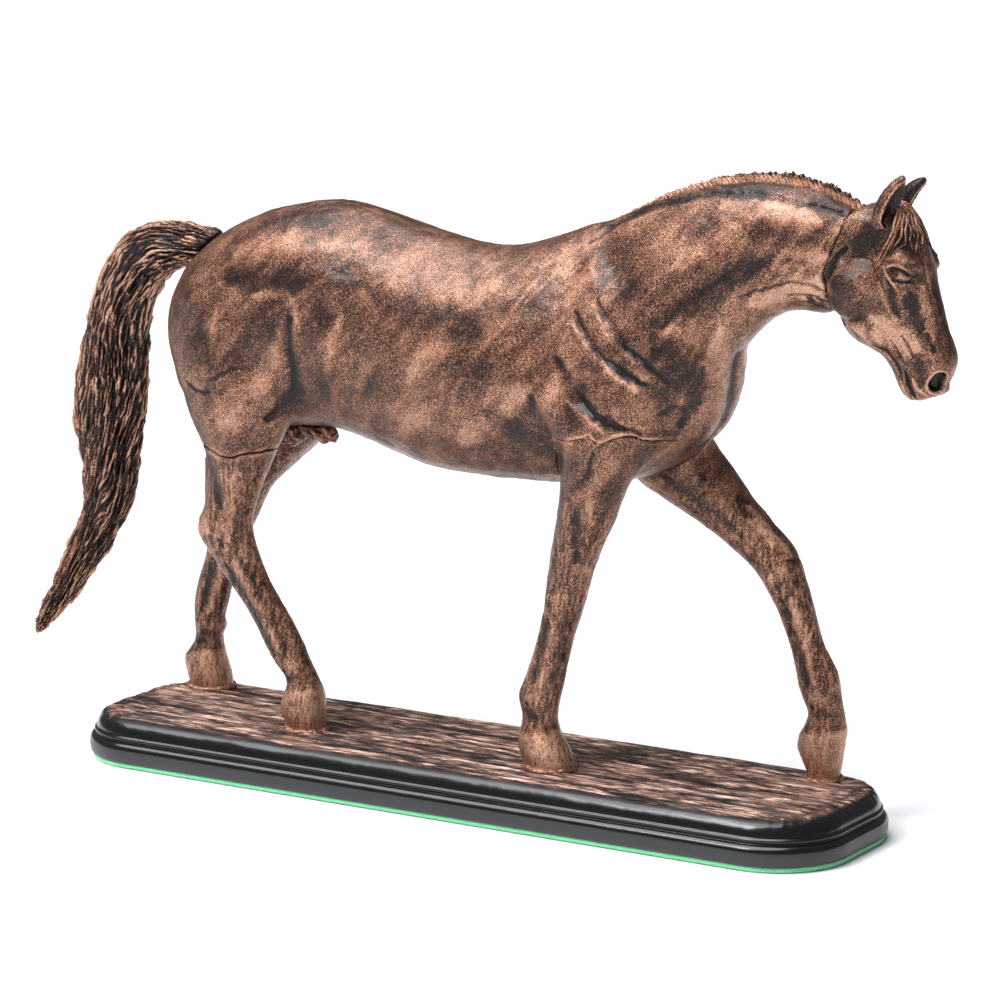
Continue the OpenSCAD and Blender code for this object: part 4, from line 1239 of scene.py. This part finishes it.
def drawn_steel(name):
    """Plain drawn steel rod with fine lengthwise lines."""
    s = Shader(name)
    lines = s.speckle(0.3, place=s.turned((0, 0, 0), (1, 1, 20)))
    s.set(Base_Color=s.ramp(lines, [(0.3, (0.42, 0.42, 0.43)), (0.7, (0.62, 0.62, 0.63))]))
    s.set(Metallic=1.0, Roughness=s.line(lines, 0.25, 0.2), Normal=s.bump(lines, 0.03))
    return s.material


# ---- stage

def floor():
    """Pale floor that the object stands on."""
    mesh = bpy.data.meshes.new("floor")
    reach, z = 45 * DRAWN_LENGTH * MM, FELT_LOW.z - 0.0002
    corners = [(-reach, -reach, z), (reach, -reach, z), (reach, reach, z), (-reach, reach, z)]
    mesh.from_pydata(corners, [], [(0, 1, 2, 3)])
    s = Shader("pale_floor")
    s.set(Base_Color=(0.86, 0.86, 0.86, 1), Roughness=0.9, Specular_IOR_Level=0.1)
    mesh.materials.append(s.material)
    placed("floor", mesh)


def studio():
    """Soft light from above and from the upper left, bright enough to whiten the floor."""
    world = bpy.data.worlds.new("studio")
    bpy.context.scene.world = world
    world.use_nodes = True
    background = world.node_tree.nodes["Background"]
    background.inputs["Color"].default_value = (0.95, 0.97, 1.0, 1)
    background.inputs["Strength"].default_value = 0.15
    sky = bpy.data.lights.new("sky", "SUN")
    sky.energy, sky.angle, sky.color = 4.4, math.radians(56), (0.95, 0.97, 1.0)
    placed("sky", sky).rotation_euler = (math.radians(12), math.radians(-14), 0)
    unit = DRAWN_LENGTH * MM
    key = bpy.data.lights.new("key", "AREA")
    key.shape, key.size, key.energy = "DISK", 2.2 * unit, 12
    lamp = placed("key", key)
    lamp.location = (-1.6 * unit, -3.6 * unit, 4.4 * unit)
    x, y, z = np.array([0, 0, 0.35 * unit]) - np.array(lamp.location)
    lamp.rotation_euler = (math.atan2(math.hypot(x, y), -z), 0, math.atan2(y, x) - math.pi / 2)
    bpy.context.scene.view_settings.view_transform = "Standard"


def camera():
    """Camera at the view angle of the reference, on the horse's right and a little above."""
    turn, rise = math.radians(31.44), math.radians(11.25)
    aim, distance = np.array([-2.5, 19.2, 89.1]), 1310.4
    away = np.array([math.sin(turn) * math.cos(rise), -math.cos(turn) * math.cos(rise), math.sin(rise)])
    data = bpy.data.cameras.new("camera")
    data.sensor_width, data.lens, data.clip_end = 36, 151.7, 100
    piece = placed("camera", data)
    piece.location = MIDDLE + MM * (aim + distance * away)
    piece.rotation_euler = (math.pi / 2 - rise, 0, turn)
    bpy.context.scene.camera = piece


# ---- everything together

LOOKS = {
    "bronze_patina": bronze("bronze_patina", 0.9, 0.28, 0.415),
    "bronze_hair": bronze("bronze_hair", 1.8, 0.28, 0.38, 1.5),
    "copper_filler": bronze("copper_filler", 1.2, 0.2, 0.55),
    "plinth_black": gloss_edge("plinth_black"),
    "green_felt": green_felt("green_felt"),
    "steel_rod": drawn_steel("steel_rod"),
}

clay = horse_clay()
cast_piece("body", clay, 0.6, 0.45, 1.0)
cast_piece("head", clay, 0.3, 0.12, 0.5)
for leg in LEGS:
    cast_piece(leg, clay, 0.45, 0.3, 1.0)
ear("left_ear", 1, clay)
ear("right_ear", -1, clay)
forelock(clay)
mane(clay)
tail(clay)
sheath()
fillets(clay)
plinth()
felt()
for name in RODS + ["tail_pin"]:
    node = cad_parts[name]
    node.data.materials.clear()
    node.data.materials.append(LOOKS["steel_rod"])

floor()
studio()
camera()
